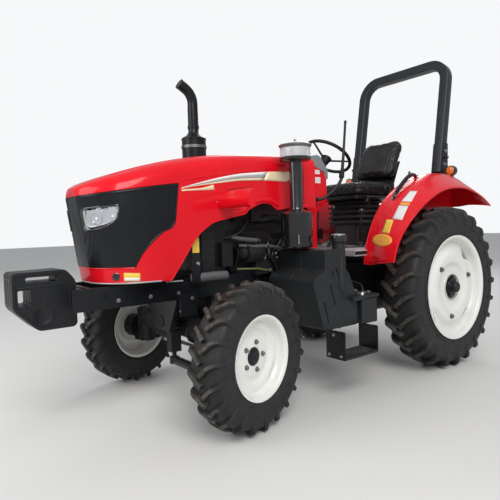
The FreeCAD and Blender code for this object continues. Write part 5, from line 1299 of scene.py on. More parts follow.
# Exhaust and air cleaner
exhaustLook = {
    "place": (1.465, -0.408), "topPipe": 0.038,
    "muffler": [(1.276, 0.038), (1.300, 0.040), (1.322, 0.058), (1.334, 0.080), (1.342, 0.090), (1.352, 0.090),
                (1.356, 0.0875), (1.715, 0.0875), (1.719, 0.090), (1.729, 0.090), (1.737, 0.080), (1.750, 0.056),
                (1.768, 0.041), (1.776, 0.038)],
}


def makeExhaust(look):
    x, y = look["place"]
    r = look["topPipe"]
    line = [(1.090, r), *look["muffler"], (1.800, r), (1.802, r + 0.004), (1.822, r + 0.004), (1.824, r), (1.955, r)]
    parts = [turnedAlong("stack", (x, y, 0), (0, 0, 1), line, 40, "black paint", 25)]
    bend = [(x, y, 1.940), (x, y, 1.990), (x + 0.010, y, 2.030), (x + 0.040, y, 2.070), (x + 0.106, y, 2.110)]
    parts.append(swept("stack_end", bend, r - 0.0005, "black paint", 28, 5))
    parts.append(turnedAlong("stack_mouth", (x + 0.106, y, 2.110), (0.85, 0, 0.50), [(-0.004, 0.038), (0.001, 0.038),
                                                                                    (0.001, 0.034), (-0.02, 0.033)],
                             28, "black plastic", 25))
    port = [(x, -0.235, 1.110), (x, -0.300, 1.110), (x, -0.360, 1.112), (x, y, 1.125), (x, y, 1.180)]
    parts.append(swept("port_pipe", port, 0.036, "cast iron", 24, 5))
    strap = [(1.395, 0.0905), (1.395, 0.0925), (1.415, 0.0925), (1.415, 0.0905)]
    for lift in (0.0, 0.262):
        parts.append(turnedAlong("muffler_band", (x, y, lift), (0, 0, 1), strap, 40, "bolt steel", 25, closed=True))
        parts.append(boltAt("band_bolt", (x + 0.094, y, 1.405 + lift), (1, 0, 0), 0.007))
    return parts


grouped("exhaust_stack", makeExhaust(exhaustLook), "chassis", "exhaust")

cleanerLook = {"place": (1.240, 0.418), "radius": 0.100}


def makeCleaner(look):
    x, y = look["place"]
    r = look["radius"]
    canister = [(0.935, 0.0), (0.935, r - 0.012), (0.938, r - 0.004), (0.945, r), (0.972, r), (0.974, r - 0.004),
                (1.000, r - 0.004), (1.002, r), (1.148, r), (1.158, r - 0.006), (1.166, r - 0.030), (1.170, 0.060),
                (1.176, 0.046), (1.190, 0.042), (1.462, 0.041), (1.4705, 0.041)]
    parts = [turnedAlong("canister", (x, y, 0), (0, 0, 1), canister, 44, "black gloss", 25)]
    for k in range(3):
        angle = math.radians(50 + 120 * k)
        spot = (x + (r + 0.002) * math.cos(angle), y + (r + 0.002) * math.sin(angle), 0.985)
        clip = blockPiece("clip", (spot[0] - 0.006, spot[1] - 0.006, 0.958), (spot[0] + 0.006, spot[1] + 0.006, 1.018),
                          "bright steel", 0.002)
        parts.append(clip)
    parts.append(blockPiece("cleaner_arm", (x - 0.030, 0.1903, 0.990), (x + 0.030, y - 0.05, 1.035), "cast iron", 0.004))
    band = [(1.330, 0.0412), (1.330, 0.0435), (1.345, 0.0435), (1.345, 0.0412)]
    parts.append(turnedAlong("hose_band", (x, y, 0.09), (0, 0, 1), band, 32, "black gloss", 25, closed=True))
    hose = [(x + 0.02, y - 0.06, 1.09), (x + 0.03, y - 0.13, 1.115), (x + 0.05, y - 0.19, 1.13), (x + 0.09, y - 0.24, 1.12)]
    parts.append(swept("cleaner_hose", hose, 0.030, "black plastic", 18, 5))
    return parts


def makeBowl(look):
    x, y = look["place"]
    base = 1.4703
    dish = [(0.0, 0.0), (0.0, 0.046), (0.003, 0.062), (0.006, 0.084), (0.010, 0.094), (0.014, 0.0975), (0.030, 0.0985),
            (0.031, 0.094), (0.026, 0.070), (0.024, 0.0)]
    bowl = [(0.029, 0.0915), (0.029, 0.095), (0.034, 0.0955), (0.084, 0.0945), (0.088, 0.0925), (0.088, 0.0905),
            (0.084, 0.0915), (0.034, 0.0915)]
    lid = [(0.086, 0.0), (0.086, 0.080), (0.089, 0.0935), (0.0995, 0.1025), (0.1025, 0.104), (0.106, 0.103),
           (0.112, 0.094), (0.121, 0.060), (0.1265, 0.028), (0.127, 0.012), (0.136, 0.010), (0.138, 0.006), (0.138, 0.0)]
    vanes = []
    for k in range(12):
        angle = math.radians(30 * k)
        vane = extruded("vane", [(0.030, 0.030), (0.070, 0.030), (0.066, 0.095), (0.030, 0.095)], -0.001, 0.001,
                        "black plastic")
        vanes.append(placed(vane, Matrix.Translation((x, y, base)) @ Matrix.Rotation(angle, 4, "Z")
                            @ Matrix.Rotation(0.35, 4, "X")))
    parts = [turnedAlong("dish", (x, y, base), (0, 0, 1), dish, 48, "black gloss", 25),
             turnedAlong("bowl", (x, y, base), (0, 0, 1), bowl, 48, "smoky cover", 25, closed=True),
             turnedAlong("lid", (x, y, base), (0, 0, 1), lid, 48, "lid grey", 25),
             turnedAlong("middle_tube", (x, y, base), (0, 0, 1), [(0.024, 0.034), (0.101, 0.034)], 24, "black plastic", 25)]
    for k in (-1, 1):
        parts.append(extrudedWing(x, y, base + 0.132, k))
    return parts + vanes


def extrudedWing(x, y, z, sign):
    outline = roundedOutline([(0.004 * sign, 0.0), (0.016 * sign, 0.004), (0.017 * sign, 0.014), (0.011 * sign, 0.015)],
                             0.004, 3)
    wing = extruded("wing", outline, -0.0015, 0.0015, "bolt steel")
    return placed(wing, Matrix.Translation((x, y, z)) @ Matrix.Rotation(0.6, 4, "Z"))


grouped("air_cleaner_can", makeCleaner(cleanerLook), "chassis", "air_cleaner")
grouped("pre_cleaner_bowl", makeBowl(cleanerLook), "chassis", "pre_cleaner")
print("exhaust and air cleaner made")

# Seat: cushions whose covers are blown out by air, as foam does, a pleated cover and the pan
seatLook = {
    "swell": 0.024, "pressure": 4.0, "voxel": 0.006,
    "cushion": {"length": 0.470, "width": 0.456, "corner": 0.075, "middle": (0.168, 0.0), "low": 1.304, "high": 1.392},
    "back": {"length": 0.372, "width": 0.420, "corner": 0.085, "thick": 0.070, "foot": (-0.096, 1.418), "tilt": -26.9},
    "pleats": {"middle": 0.170, "low": 0.9053, "foot": 1.068, "high": 1.272, "count": 5, "narrow": 0.146, "wide": 0.171},
}
# Columns: share of the height, how far the outline is drawn in
padSides = [(0.0, 0.060), (0.0, 0.018), (0.10, 0.005), (0.32, 0.0), (0.50, 0.004), (0.72, 0.0), (0.90, 0.006),
            (0.985, 0.022), (1.0, 0.060), (1.04, 0.130)]


def padForm(name, look, high, finish):
    # lies flat: its length along X, its width along Y and its height from 0 to high
    half, wide = look["length"] / 2, look["width"] / 2
    outline = roundedOutline([(-half, -wide), (half, -wide), (half, wide), (-half, wide)], look["corner"], 8)
    count = len(outline)
    verts, faces = [], []
    for share, inset in padSides:
        for x, y in outline:
            verts.append((x * (1 - inset / half), y * (1 - inset / wide), share * high))
    for i in range(len(padSides) - 1):
        for k in range(count):
            j = (k + 1) % count
            faces.append((i * count + k, i * count + j, (i + 1) * count + j, (i + 1) * count + k))
    faces += [tuple(range(count)), tuple((len(padSides) - 1) * count + k for k in range(count))]
    return meshPiece(name, verts, faces, finish, 60)


def puffed(piece, look):
    remesh = piece.modifiers.new("even", "REMESH")
    remesh.mode = "VOXEL"
    remesh.voxel_size = look["voxel"] * 1
    keptMesh(piece)
    start = [v.co.copy() for v in piece.data.vertices]
    cover = piece.modifiers.new("cover", "CLOTH")
    cover.settings.use_pressure = True
    cover.settings.uniform_pressure_force = look["pressure"]
    cover.settings.effector_weights.gravity = 0
    cover.settings.quality = 4
    scene = bpy.context.scene
    for number in range(1, 21):
        scene.frame_set(number)
    keptMesh(piece)
    scene.frame_set(1)
    for vert, spot in zip(piece.data.vertices, start):
        move = vert.co - spot
        if move.length > look["swell"]:
            vert.co = spot + move.normalized() * look["swell"]
    smooth = piece.modifiers.new("calm", "SMOOTH")
    smooth.factor = 0.5
    smooth.iterations = 4
    keptMesh(piece)
    return piece


def grooved(piece, lines, deep, wide):
    # sewn channels: points near a line are drawn in along the height
    for vert in piece.data.vertices:
        for line in lines:
            far = line(vert.co)
            if abs(far) < wide * 3:
                vert.co.z -= deep * math.exp(-(far / wide) ** 2) * (1 if vert.co.z > 0.03 else 0)


def finishPad(piece, finish):
    rounder = piece.modifiers.new("round", "SUBSURF")
    rounder.levels = 1
    rounder.render_levels = 1
    keptMesh(piece)
    piece.data.materials.clear()
    piece.data.materials.append(finishes[finish])
    piece.data.shade_smooth()
    return piece


def pipingRound(name, look, high, inset):
    half, wide = look["length"] / 2 - inset, look["width"] / 2 - inset
    outline = roundedOutline([(-half, -wide), (half, -wide), (half, wide), (-half, wide)], look["corner"], 8)
    count = len(outline)
    radius, verts, faces = 0.0032, [], []
    for i, (x, y) in enumerate(outline):
        before, after = Vector(outline[i - 1]), Vector(outline[(i + 1) % count])
        way = (after - before).normalized()
        out = Vector((way.y, -way.x, 0))
        for k in range(8):
            angle = math.pi * k / 4
            verts.append(Vector((x, y, high)) + out * radius * math.cos(angle) + Vector((0, 0, radius * math.sin(angle))))
    for i in range(count):
        for k in range(8):
            j, n = (k + 1) % 8, (i + 1) % count
            faces.append((i * 8 + k, i * 8 + j, n * 8 + j, n * 8 + k))
    return meshPiece(name, verts, faces, "seat vinyl", 60)


cushion = seatLook["cushion"]
high = cushion["high"] - cushion["low"]
pad = puffed(padForm("seat_cushion_pad", cushion, high * 0.93, "seat vinyl"), seatLook)
grooved(pad, [lambda p: abs(p.y) - 0.150, lambda p: p.x - 0.120 if abs(p.y) < 0.150 else 1.0], 0.007, 0.007)
for vert in pad.data.vertices:
    side = max(0.0, abs(vert.co.y) - 0.150) / 0.08
    if vert.co.z > 0.05:
        vert.co.z += 0.008 * min(1.0, side) - 0.006 * max(0.0, vert.co.x) / 0.24
    vert.co.z = max(vert.co.z, 0.0)
finishPad(pad, "seat vinyl")
seatPlace = Matrix.Translation((*cushion["middle"], cushion["low"]))
piping = pipingRound("seat_piping", cushion, high * 0.86, -0.010)
pad = placed(joined("seat_cushion_pad", [pad, piping]), toFrame @ seatPlace)
settle(pad, "chassis", "seat_cushion")

back = seatLook["back"]
pad = puffed(padForm("seat_back_pad", back, back["thick"] * 0.85, "seat vinyl"), seatLook)
grooved(pad, [lambda p: p.x - 0.095 - 0.020 * abs(p.y) / 0.2, lambda p: abs(p.y) - 0.142 if p.x < 0.09 else 1.0],
        0.008, 0.007)
for vert in pad.data.vertices:
    upper = max(0.0, vert.co.x - 0.02) / 0.17
    vert.co.y *= 1 - 0.10 * min(1.2, upper)
    side = max(0.0, abs(vert.co.y) - 0.140) / 0.07
    if vert.co.z > 0.04:
        vert.co.z += 0.012 * min(1.0, side) * (1 if vert.co.x < 0.09 else 0.3)
    vert.co.z = max(vert.co.z, 0.0)
finishPad(pad, "seat vinyl")
foot, tilt = back["foot"], math.radians(back["tilt"])
stand = Matrix.Rotation(tilt, 4, "Y") @ Matrix.Rotation(math.radians(-90), 4, "Y") @ Matrix.Scale(-1, 4, (0, 1, 0))
backPlace = Matrix.Translation((foot[0] - 0.035, 0, foot[1])) @ stand @ Matrix.Translation((back["length"] / 2, 0, -0.036))
flip = Matrix.Scale(-1, 4, (0, 0, 1))
pad = placed(pad, toFrame @ backPlace @ flip)
settle(pad, "chassis", "seat_backrest")
print("seat pads made")


def makeSeatBase(look):
    pleats = look["pleats"]
    levels = [(pleats["low"], 0.138), (pleats["low"] + 0.012, 0.1385), (pleats["foot"] - 0.006, 0.138)]
    count = 2 * pleats["count"] + 1
    for k in range(count):
        z = pleats["foot"] + 0.002 + (pleats["high"] - pleats["foot"] - 0.002) * k / (count - 1)
        levels.append((z, (pleats["narrow"], pleats["wide"])[k % 2]))
    rows = smoothRow(levels, 4)
    verts, faces = [], []
    for z, half in rows:
        outline = roundedOutline([(-half, -half), (half, -half), (half, half), (-half, half)], 0.040, 6)
        verts += [(pleats["middle"] + x, y, z) for x, y in outline]
    count = len(verts) // len(rows)
    for i in range(len(rows) - 1):
        for k in range(count):
            j = (k + 1) % count
            faces.append((i * count + k, i * count + j, (i + 1) * count + j, (i + 1) * count + k))
    faces += [tuple(range(count)), tuple((len(rows) - 1) * count + k for k in range(count))]
    parts = [meshPiece("seat_pleats", verts, faces, "pleat rubber", 50)]
    pan = extruded("seat_pan", roundedOutline([(-0.147, -0.210), (0.405, -0.210), (0.405, 0.210), (-0.147, 0.210)],
                                              0.050, 6), 1.2690, 1.2985, "black plastic", "z")
    parts.append(rounded(pan, 0.006, 3))
    plate = [(-0.147, 1.280), (-0.1352, 1.280), (-0.1352, 1.410), (-0.2264, 1.600), (-0.2382, 1.600), (-0.147, 1.410)]
    parts.append(rounded(extruded("back_plate", plate, -0.160, 0.160, "black plastic"), 0.004, 2))
    for sign in (1, -1):
        rail = [(0.300, 0.215 * sign, 1.284), (0.060, 0.232 * sign, 1.284), (-0.080, 0.252 * sign, 1.292),
                (-0.150, 0.258 * sign, 1.330), (-0.195, 0.256 * sign, 1.420), (-0.240, 0.245 * sign, 1.500)]
        parts.append(swept("seat_side_tube", rail, 0.009, "black gloss", 12, 6))
    knob = [(0.0, 0.010), (0.010, 0.011), (0.012, 0.020), (0.028, 0.022), (0.034, 0.016), (0.034, 0.0)]
    parts.append(turnedAlong("seat_knob", (0.300, 0.208, 1.250), (0, 1, 0), knob, 20, "black plastic"))
    return parts


grouped("seat_base_and_pleats", makeSeatBase(seatLook), "chassis", "seat_base")
print("seat made")

# Steering wheel
wheelLook = {"hub": (0.532, 0.0, 1.560), "tilt": 35.0, "up": 0.060, "reach": 0.187, "grip": 0.0130}


def makeSteeringWheel(look):
    # drawn flat round the Z axis and then tilted
    sides, around = 96, 14
    verts, faces = [], []
    for i in range(sides):
        step = 2 * math.pi * i / sides
        wave = 0.0007 * math.cos(48 * step)
        for k in range(around):
            angle = 2 * math.pi * k / around
            r = look["reach"] + (look["grip"] + (wave if math.cos(angle) < 0.2 else 0)) * math.cos(angle)
            verts.append((r * math.cos(step), r * math.sin(step), look["up"] + look["grip"] * math.sin(angle)))
    for i in range(sides):
        for k in range(around):
            a, b = i * around, (i + 1) % sides * around
            faces.append((a + k, a + (k + 1) % around, b + (k + 1) % around, b + k))
    parts = [meshPiece("wheel_grip", verts, faces, "black plastic", 60)]
    for n in range(3):
        angle = math.radians(120 * n)
        way = Vector((math.cos(angle), math.sin(angle), 0))
        line = [way * 0.022 + Vector((0, 0, 0.030)), way * 0.060 + Vector((0, 0, 0.034)),
                way * 0.130 + Vector((0, 0, 0.050)), way * (look["reach"] - 0.004) + Vector((0, 0, look["up"]))]
        parts.append(swept("wheel_spoke", line, [0.013, 0.011, 0.010, 0.009], "black paint", 12, 5, flat=0.45))
    cap = [(0.002, 0.0), (0.002, 0.030), (0.020, 0.034), (0.040, 0.043), (0.046, 0.043), (0.050, 0.039), (0.052, 0.020),
           (0.053, 0.0)]
    parts.append(turnedAlong("wheel_cap", (0, 0, 0), (0, 0, 1), cap, 36, "black plastic", 30))
    tilt = Matrix.Translation(look["hub"]) @ Matrix.Rotation(math.radians(-look["tilt"]), 4, "Y")
    return [placed(part, tilt) for part in parts]


grouped("steering_wheel_and_hub", makeSteeringWheel(wheelLook), nodeBody["steering_wheel"], "steering_wheel")


def tiltedUp(look):
    tilt = math.radians(look["tilt"])
    return Vector((-math.sin(tilt), 0, math.cos(tilt)))


softened("steering_column", 0.002, "black plastic")
print("steering wheel made")

# Levers, pedals and the folded mirror arm
# Columns: foot x, foot y, top x, top y, top z
leverTable = [(0.560, 0.070, 0.520, 0.070, 1.190), (0.420, -0.250, 0.400, -0.260, 1.330),
              (0.360, -0.250, 0.330, -0.260, 1.310), (0.420, 0.250, 0.410, 0.255, 1.160)]
pedalTable = {"ys": (0.130, -0.110, -0.165), "z": 1.010, "face": 0.8497}


def makeControls():
    parts = []
    for x, y, topX, topY, topZ in leverTable:
        foot = Vector((x, y, 0.9053))
        top = Vector((topX, topY, topZ))
        bend = foot.lerp(top, 0.45) + Vector((0.012, 0, 0))
        parts.append(swept("lever", [foot + Vector((0, 0, 0.003)), bend, top], [0.008, 0.0078, 0.007], "black paint", 12, 6))
        knob = [(-0.012, 0.008), (-0.008, 0.013), (0.006, 0.0195), (0.018, 0.0205), (0.028, 0.016), (0.034, 0.007),
                (0.0345, 0.0)]
        parts.append(turnedAlong("knob", top, top - bend, knob, 24, "black gloss"))
        boot = [(0.001, 0.030), (0.010, 0.026), (0.014, 0.028), (0.022, 0.019), (0.026, 0.021), (0.036, 0.011)]
        parts.append(turnedAlong("lever_boot", foot, (0, 0, 1), boot, 24, "pleat rubber"))
    for y in pedalTable["ys"]:
        z, face = pedalTable["z"], pedalTable["face"]
        stalk = [(face - 0.001, y, z + 0.007), (face - 0.060, y, z + 0.020), (face - 0.117, y, z + 0.004)]
        parts.append(swept("pedal_stalk", stalk, 0.007, "black paint", 12, 5))
        parts.append(blockPiece("pedal_pad", (face - 0.126, y - 0.024, z - 0.040), (face - 0.119, y + 0.024, z + 0.040),
                                "black plastic", 0.0025))
        for k in range(7):
            low = z - 0.034 + 0.0105 * k
            parts.append(blockPiece("pedal_rib", (face - 0.1285, y - 0.021, low), (face - 0.1255, y + 0.021, low + 0.004),
                                    "black plastic", 0.001))
    return parts


grouped("levers_and_pedals", makeControls(), "chassis", "control_levers")

mirrorLook = {
    "lower": [(0.880, 0.212, 1.250), (0.876, 0.246, 1.252), (0.840, 0.276, 1.262), (0.800, 0.300, 1.292),
              (0.748, 0.322, 1.345), (0.716, 0.330, 1.392), (0.704, 0.330, 1.440)],
    "upper": [(0.708, 0.330, 1.420), (0.700, 0.330, 1.470), (0.680, 0.330, 1.620), (0.659, 0.330, 1.800)],
}


def makeMirrorArm(look):
    parts = [swept("mirror_tube", look["lower"], 0.0115, "black paint", 16, 5),
             swept("mirror_rod", look["upper"], [0.0115, 0.0115, 0.0090, 0.0085], "black paint", 16, 5)]
    knuckle = [(-0.028, 0.0), (-0.028, 0.014), (-0.022, 0.019), (0.022, 0.019), (0.028, 0.014), (0.028, 0.0)]
    parts.append(turnedAlong("mirror_knuckle", (0.709, 0.330, 1.430), (-0.08, 0, 1), knuckle, 24, "black plastic"))
    parts.append(turnedAlong("mirror_tip", (0.6595, 0.330, 1.790), (-0.1, 0, 1),
                             [(0.0, 0.0090), (0.010, 0.0105), (0.020, 0.0090), (0.022, 0.0)], 16, "black plastic"))
    plate = roundedOutline([(0.845, 1.215), (0.925, 1.215), (0.925, 1.290), (0.845, 1.290)], 0.012, 3)
    parts.append(rounded(extruded("mirror_plate", plate, 0.2103, 0.2163, "black paint"), 0.0015))
    for x, z in ((0.858, 1.228), (0.912, 1.228), (0.858, 1.277), (0.912, 1.277)):
        parts.append(boltAt("mirror_bolt", (x, 0.2163, z), (0, 1, 0), 0.0065))
    return parts


grouped("mirror_arm_and_plate", makeMirrorArm(mirrorLook), "chassis", "mirror_arm")
print("controls made")

# Fuel tank
tankLook = {
    "outline": [(1.332, 0.720), (1.310, 0.650), (1.252, 0.455), (1.234, 0.438), (0.952, 0.438), (0.938, 0.454),
                (0.938, 0.600), (1.022, 0.778), (1.056, 0.802), (1.068, 0.850), (1.068, 0.925), (1.222, 0.925),
                (1.230, 0.915), (1.232, 0.790), (1.300, 0.775), (1.328, 0.750)],
    "inner": 0.235, "outer": 0.640,
    "grooves": [((1.136, 0.811), (1.080, 0.677)), ((1.191, 0.707), (1.144, 0.582)), ((1.245, 0.610), (1.210, 0.482))],
    "dimples": [(1.175, 0.722), (1.227, 0.619), (1.124, 0.821), (1.044, 0.754)],
}


def makeTank(look):
    outline = roundedOutline(look["outline"], 0.030, 5)
    body = extruded("tank_body", outline, look["inner"], look["outer"], "tank plastic", sharp=40)
    for (x, z), (x2, z2) in look["grooves"]:
        side = Vector((z2 - z, x - x2)).normalized() * 0.006
        line = [(x + side.x, z + side.y), (x2 + side.x, z2 + side.y), (x2 - side.x, z2 - side.y), (x - side.x, z - side.y)]
        cut(body, extruded("groove", roundedOutline(line, 0.005, 3), look["outer"] - 0.006, look["outer"] + 0.02, "tank plastic"))
    recess = roundedOutline([(1.158, 0.763), (1.204, 0.765), (1.204, 0.797), (1.158, 0.795)], 0.006, 3)
    cut(body, extruded("recess", recess, look["outer"] - 0.005, look["outer"] + 0.02, "tank plastic"))
    tidyShape(body, "tank plastic", 40)
    parts = [rounded(body, 0.012, 3, 40)]
    for x, z in look["dimples"]:
        boss = [(-0.004, 0.016), (0.002, 0.014), (0.004, 0.010), (0.004, 0.0)]
        parts.append(turnedAlong("dimple", (x, look["outer"], z), (0, 1, 0), boss, 20, "tank plastic", 60))
    seam = [(x, 0.437, z) for x, z in outline]
    parts.append(swept("tank_seam", seam + seam[:1], 0.0035, "tank plastic", 6, 1))
    neck = [(0.900, 0.040), (0.955, 0.038), (0.957, 0.042), (0.962, 0.042), (0.964, 0.038), (0.972, 0.038)]
    parts.append(turnedAlong("tank_neck", (1.060, 0.600, 0), (0, 0, 1), neck, 32, "tank plastic", 30))
    pipe = [(1.060, 0.605, 0.950), (1.064, 0.612, 0.880), (1.074, 0.624, 0.780), (1.083, 0.630, 0.690),
            (1.084, 0.618, 0.640)]
    parts.append(swept("tank_pipe", pipe, [0.034, 0.034, 0.033, 0.030, 0.020], "tank plastic", 24, 5))
    verts, faces = [], []
    rings = [(0.968, 0.045), (0.971, 0.0495), (0.978, 0.050), (1.003, 0.050), (1.0095, 0.0475), (1.012, 0.042)]
    sides = 72
    for z, r in rings:
        for k in range(sides):
            flute = 0.0014 * (1 if k % 3 == 0 else 0) * (1 if 0.97 < z < 1.01 else 0)
            angle = 2 * math.pi * k / sides
            verts.append((1.060 + (r - flute) * math.cos(angle), 0.600 + (r - flute) * math.sin(angle), z))
    for i in range(len(rings) - 1):
        for k in range(sides):
            j = (k + 1) % sides
            faces.append((i * sides + k, i * sides + j, (i + 1) * sides + j, (i + 1) * sides + k))
    faces += [tuple(range(sides)), tuple((len(rings) - 1) * sides + k for k in range(sides))]
    parts.append(meshPiece("tank_cap", verts, faces, "black gloss", 30))
    top = [(0.0, 0.0405), (0.0025, 0.039), (0.003, 0.030), (0.0, 0.028), (0.0, 0.0)]
    parts.append(turnedAlong("cap_top", (1.060, 0.600, 1.0122), (0, 0, 1), top, 40, "cap silver", 30))
    parts.append(blockPiece("tank_strap", (1.010, 0.1903, 0.585), (1.070, 0.2365, 0.625), "black paint", 0.002))
    return parts


grouped("fuel_tank_and_filler", makeTank(tankLook), "chassis", "fuel_tank")


def makeBatteryBox():
    parts = [blockPiece("battery_case", (0.772, 0.430, 0.435), (0.925, 0.666, 0.600), "tank plastic", 0.008, 3),
             blockPiece("battery_lid", (0.764, 0.4255, 0.599), (0.932, 0.6775, 0.621), "tank plastic", 0.005, 2),
             blockPiece("battery_lip", (0.926, 0.648, 0.593), (1.021, 0.683, 0.621), "tank plastic", 0.006, 2),
             blockPiece("battery_arm", (0.800, 0.1553, 0.520), (0.880, 0.435, 0.560), "black paint", 0.004, 2)]
    cap = [(0.0, 0.016), (0.008, 0.0155), (0.010, 0.011), (0.013, 0.009), (0.013, 0.0)]
    for k in range(6):
        spot = (0.792 + 0.046 * (k % 3), 0.500 + 0.110 * (k // 3), 0.621)
        parts.append(turnedAlong("cell_cap", spot, (0, 0, 1), cap, 16, "grey casting"))
    for y in (0.455, 0.650):
        post = [(0.0, 0.013), (0.016, 0.010), (0.018, 0.008), (0.018, 0.0)]
        parts.append(turnedAlong("battery_post", (0.905, y, 0.621), (0, 0, 1), post, 16, "cap silver"))
    for y, end in ((0.455, (0.700, 0.300, 0.700)), (0.650, (0.960, 0.390, 0.740))):
        line = [(0.905, y, 0.636), (0.893, y - 0.010, 0.662), (0.880, y - 0.060, 0.690), end]
        parts.append(swept("battery_lead", line, 0.008, "black plastic", 10, 6))
    return parts


grouped("battery_box_and_lid", makeBatteryBox(), "chassis", "battery_box")

stepLook = {"back": 0.880, "front": 1.186, "low": 0.266, "near": 0.601, "far": 0.751}


def makeStep(look):
    near, far, low = look["near"], look["far"], look["low"]
    parts = []
    for x, high in ((look["back"], 0.4347), (look["front"], 0.4377)):
        outline = roundedOutline([(near, low), (far, low), (far, high), (near, high)], 0.010, 3)
        parts.append(rounded(extruded("step_plate", outline, x, x + 0.008, "black paint", "x"), 0.0015))
        out = x + 0.008 if x > 1 else x
        for y in (near + 0.028, far - 0.028):
            parts.append(boltAt("step_bolt", (out, y, low + 0.024), (1 if x > 1 else -1, 0, 0), 0.0085, "bright steel"))
        parts.append(boltAt("step_bolt", (out, (near + far) / 2 - 0.010, high - 0.026), (1 if x > 1 else -1, 0, 0), 0.0085,
                            "bright steel"))
    length = look["front"] + 0.008 - look["back"]
    tread = blockPiece("step_tread", (look["back"] + 0.0005, near, low), (look["back"] + length - 0.0005, far, low + 0.018),
                       "black paint", 0.003)
    parts.append(tread)
    bar = blockPiece("tread_rib", (look["back"] + 0.022, near + 0.008, low + 0.0175),
                     (look["back"] + 0.029, far - 0.008, low + 0.0200), "platform paint", 0.001)
    parts.append(repeated(bar, 19, step=(0.0140, 0, 0)))
    return parts


grouped("boarding_step_and_tread", makeStep(stepLook), "chassis", "boarding_step")

# Platform with a ribbed mat and a black edge strip
deckLook = {
    "outline": [(-0.010, -0.4737), (0.785, -0.4737), (0.785, -0.620), (0.905, -0.620), (0.905, -0.225), (0.934, -0.225),
                (0.934, 0.225), (0.905, 0.225), (0.905, 0.620), (0.785, 0.620), (0.785, 0.4737), (-0.010, 0.4737)],
    "low": 0.865, "high": 0.905,
}


def makeDeck(look):
    wide = abs(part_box("platform")[1][1])
    outline = [(x, math.copysign(wide, y) if abs(y) > 0.6 else y) for x, y in look["outline"]]
    deck = extruded("deck", outline, look["low"], look["high"], "deck metal", "z")
    parts = [rounded(deck, 0.004, 3)]
    for y in (-0.36, -0.17, 0.02, 0.21):
        rib = extruded("mat_rib", roundedOutline([(0.440, y), (0.840, y), (0.840, y + 0.14), (0.440, y + 0.14)], 0.02, 3),
                       look["high"], look["high"] + 0.002, "platform paint", "z")
        parts.append(rounded(rib, 0.001, 1))
    for x, z, low in ((0.500, 0.865, 0.74), (0.110, 0.865, 0.74)):
        parts.append(blockPiece("deck_foot", (x, -0.13, low), (x + 0.060, 0.13, z + 0.001), "black paint", 0.003))
    for sign in (1, -1):
        strip = [(0.786, (wide - 0.002) * sign), (0.904, (wide - 0.002) * sign), (0.904, (wide + 0.0015) * sign),
                 (0.786, (wide + 0.0015) * sign)]
        parts.append(extruded("edge_strip", strip, 0.874, 0.896, "black plastic", "z"))
    return parts


grouped("platform_and_mat", makeDeck(deckLook), "chassis", "platform")
print("tank, battery box, step and platform made")

# Front weights: plates with a raised border, a boss, handle slots and open grips
weightLook = {
    "pitch": 0.045, "wide": 0.040, "count": 4,
    "outline": [(2.525, 0.825), (2.575, 0.886), (2.822, 0.882), (2.834, 0.870), (2.834, 0.699), (2.718, 0.583),
                (2.541, 0.583), (2.525, 0.599)],
    "inside": [(2.560, 0.835), (2.585, 0.868), (2.808, 0.866), (2.818, 0.858), (2.818, 0.706), (2.711, 0.600),
               (2.565, 0.600), (2.560, 0.606)],
    "slot": [(2.613, 0.829), (2.769, 0.829), (2.769, 0.856), (2.613, 0.856)],
    "grip": [(2.748, 0.714), (2.808, 0.714), (2.808, 0.794), (2.748, 0.794)],
    "boss": (2.694, 0.657, 0.047),
}


def makeWeights(look):
    parts = []
    for n in range(look["count"]):
        low = -0.0875 + look["pitch"] * n
        high = low + look["wide"]
        plate = extruded("weight", roundedOutline(look["outline"], 0.022, 5), low, high, "weight paint", sharp=40)
        for outer in (True, False):
            if (outer and n < look["count"] - 1) or (not outer and n > 0):
                continue
            face = (high - 0.004, high + 0.01) if outer else (low - 0.01, low + 0.004)
            cut(plate, extruded("field", roundedOutline(look["inside"], 0.016, 5), *face, "weight paint"))
        for key in ("slot", "grip"):
            cut(plate, extruded("opening", roundedOutline(look[key], 0.010, 4), -0.2, 0.2, "weight paint"))
        tidyShape(plate, "weight paint", 40)
        parts.append(rounded(plate, 0.003, 3, 40))
    for sign in (1, -1):
        x, z, r = look["boss"]
        y = (0.0875 - 0.004) * sign
        ring = [(0.0, r + 0.006), (0.0032, r + 0.004), (0.0036, r - 0.004), (0.0006, r - 0.008), (0.0006, 0.0)]
        parts.append(turnedAlong("boss", (x, y, z), (0, sign, 0), ring, 40, "weight paint", 50))
        line = [(2.585, 0.813), (2.660, 0.809), (2.740, 0.808), (2.808, 0.806)]
        bar = [(px, y, pz) for px, pz in line]
        parts.append(swept("field_edge", bar, 0.0042, "weight paint", 8, 4))
        pad = extruded("small_pad", roundedOutline([(2.674, 0.706), (2.704, 0.706), (2.704, 0.740), (2.674, 0.740)], 0.008, 3),
                       min(y, y + 0.003 * sign), max(y, y + 0.003 * sign), "weight paint")
        parts.append(rounded(pad, 0.001))
    parts.append(blockPiece("weight_bar", (2.5255, -0.0775, 0.709), (2.586, 0.0775, 0.769), "weight paint", 0.003))
    for y in (-0.045, 0.0, 0.045):
        parts.append(boltAt("weight_bolt", (2.834 - 0.002, y, 0.846), (1, 0, 0), 0.006, "bolt steel"))
    return parts


weightParts = makeWeights(weightLook)
grouped("front_weight_row", weightParts, "chassis", "front_weights")


def hoseAlong(name, line, radius, finish, sides=10):
    return swept(name, line, radius, finish, sides, 5)


frontLook = {
    "holes": [(1.945, 0.682), (1.880, 0.800), (1.852, 0.775), (2.030, 0.720), (2.200, 0.720), (2.380, 0.720)],
}


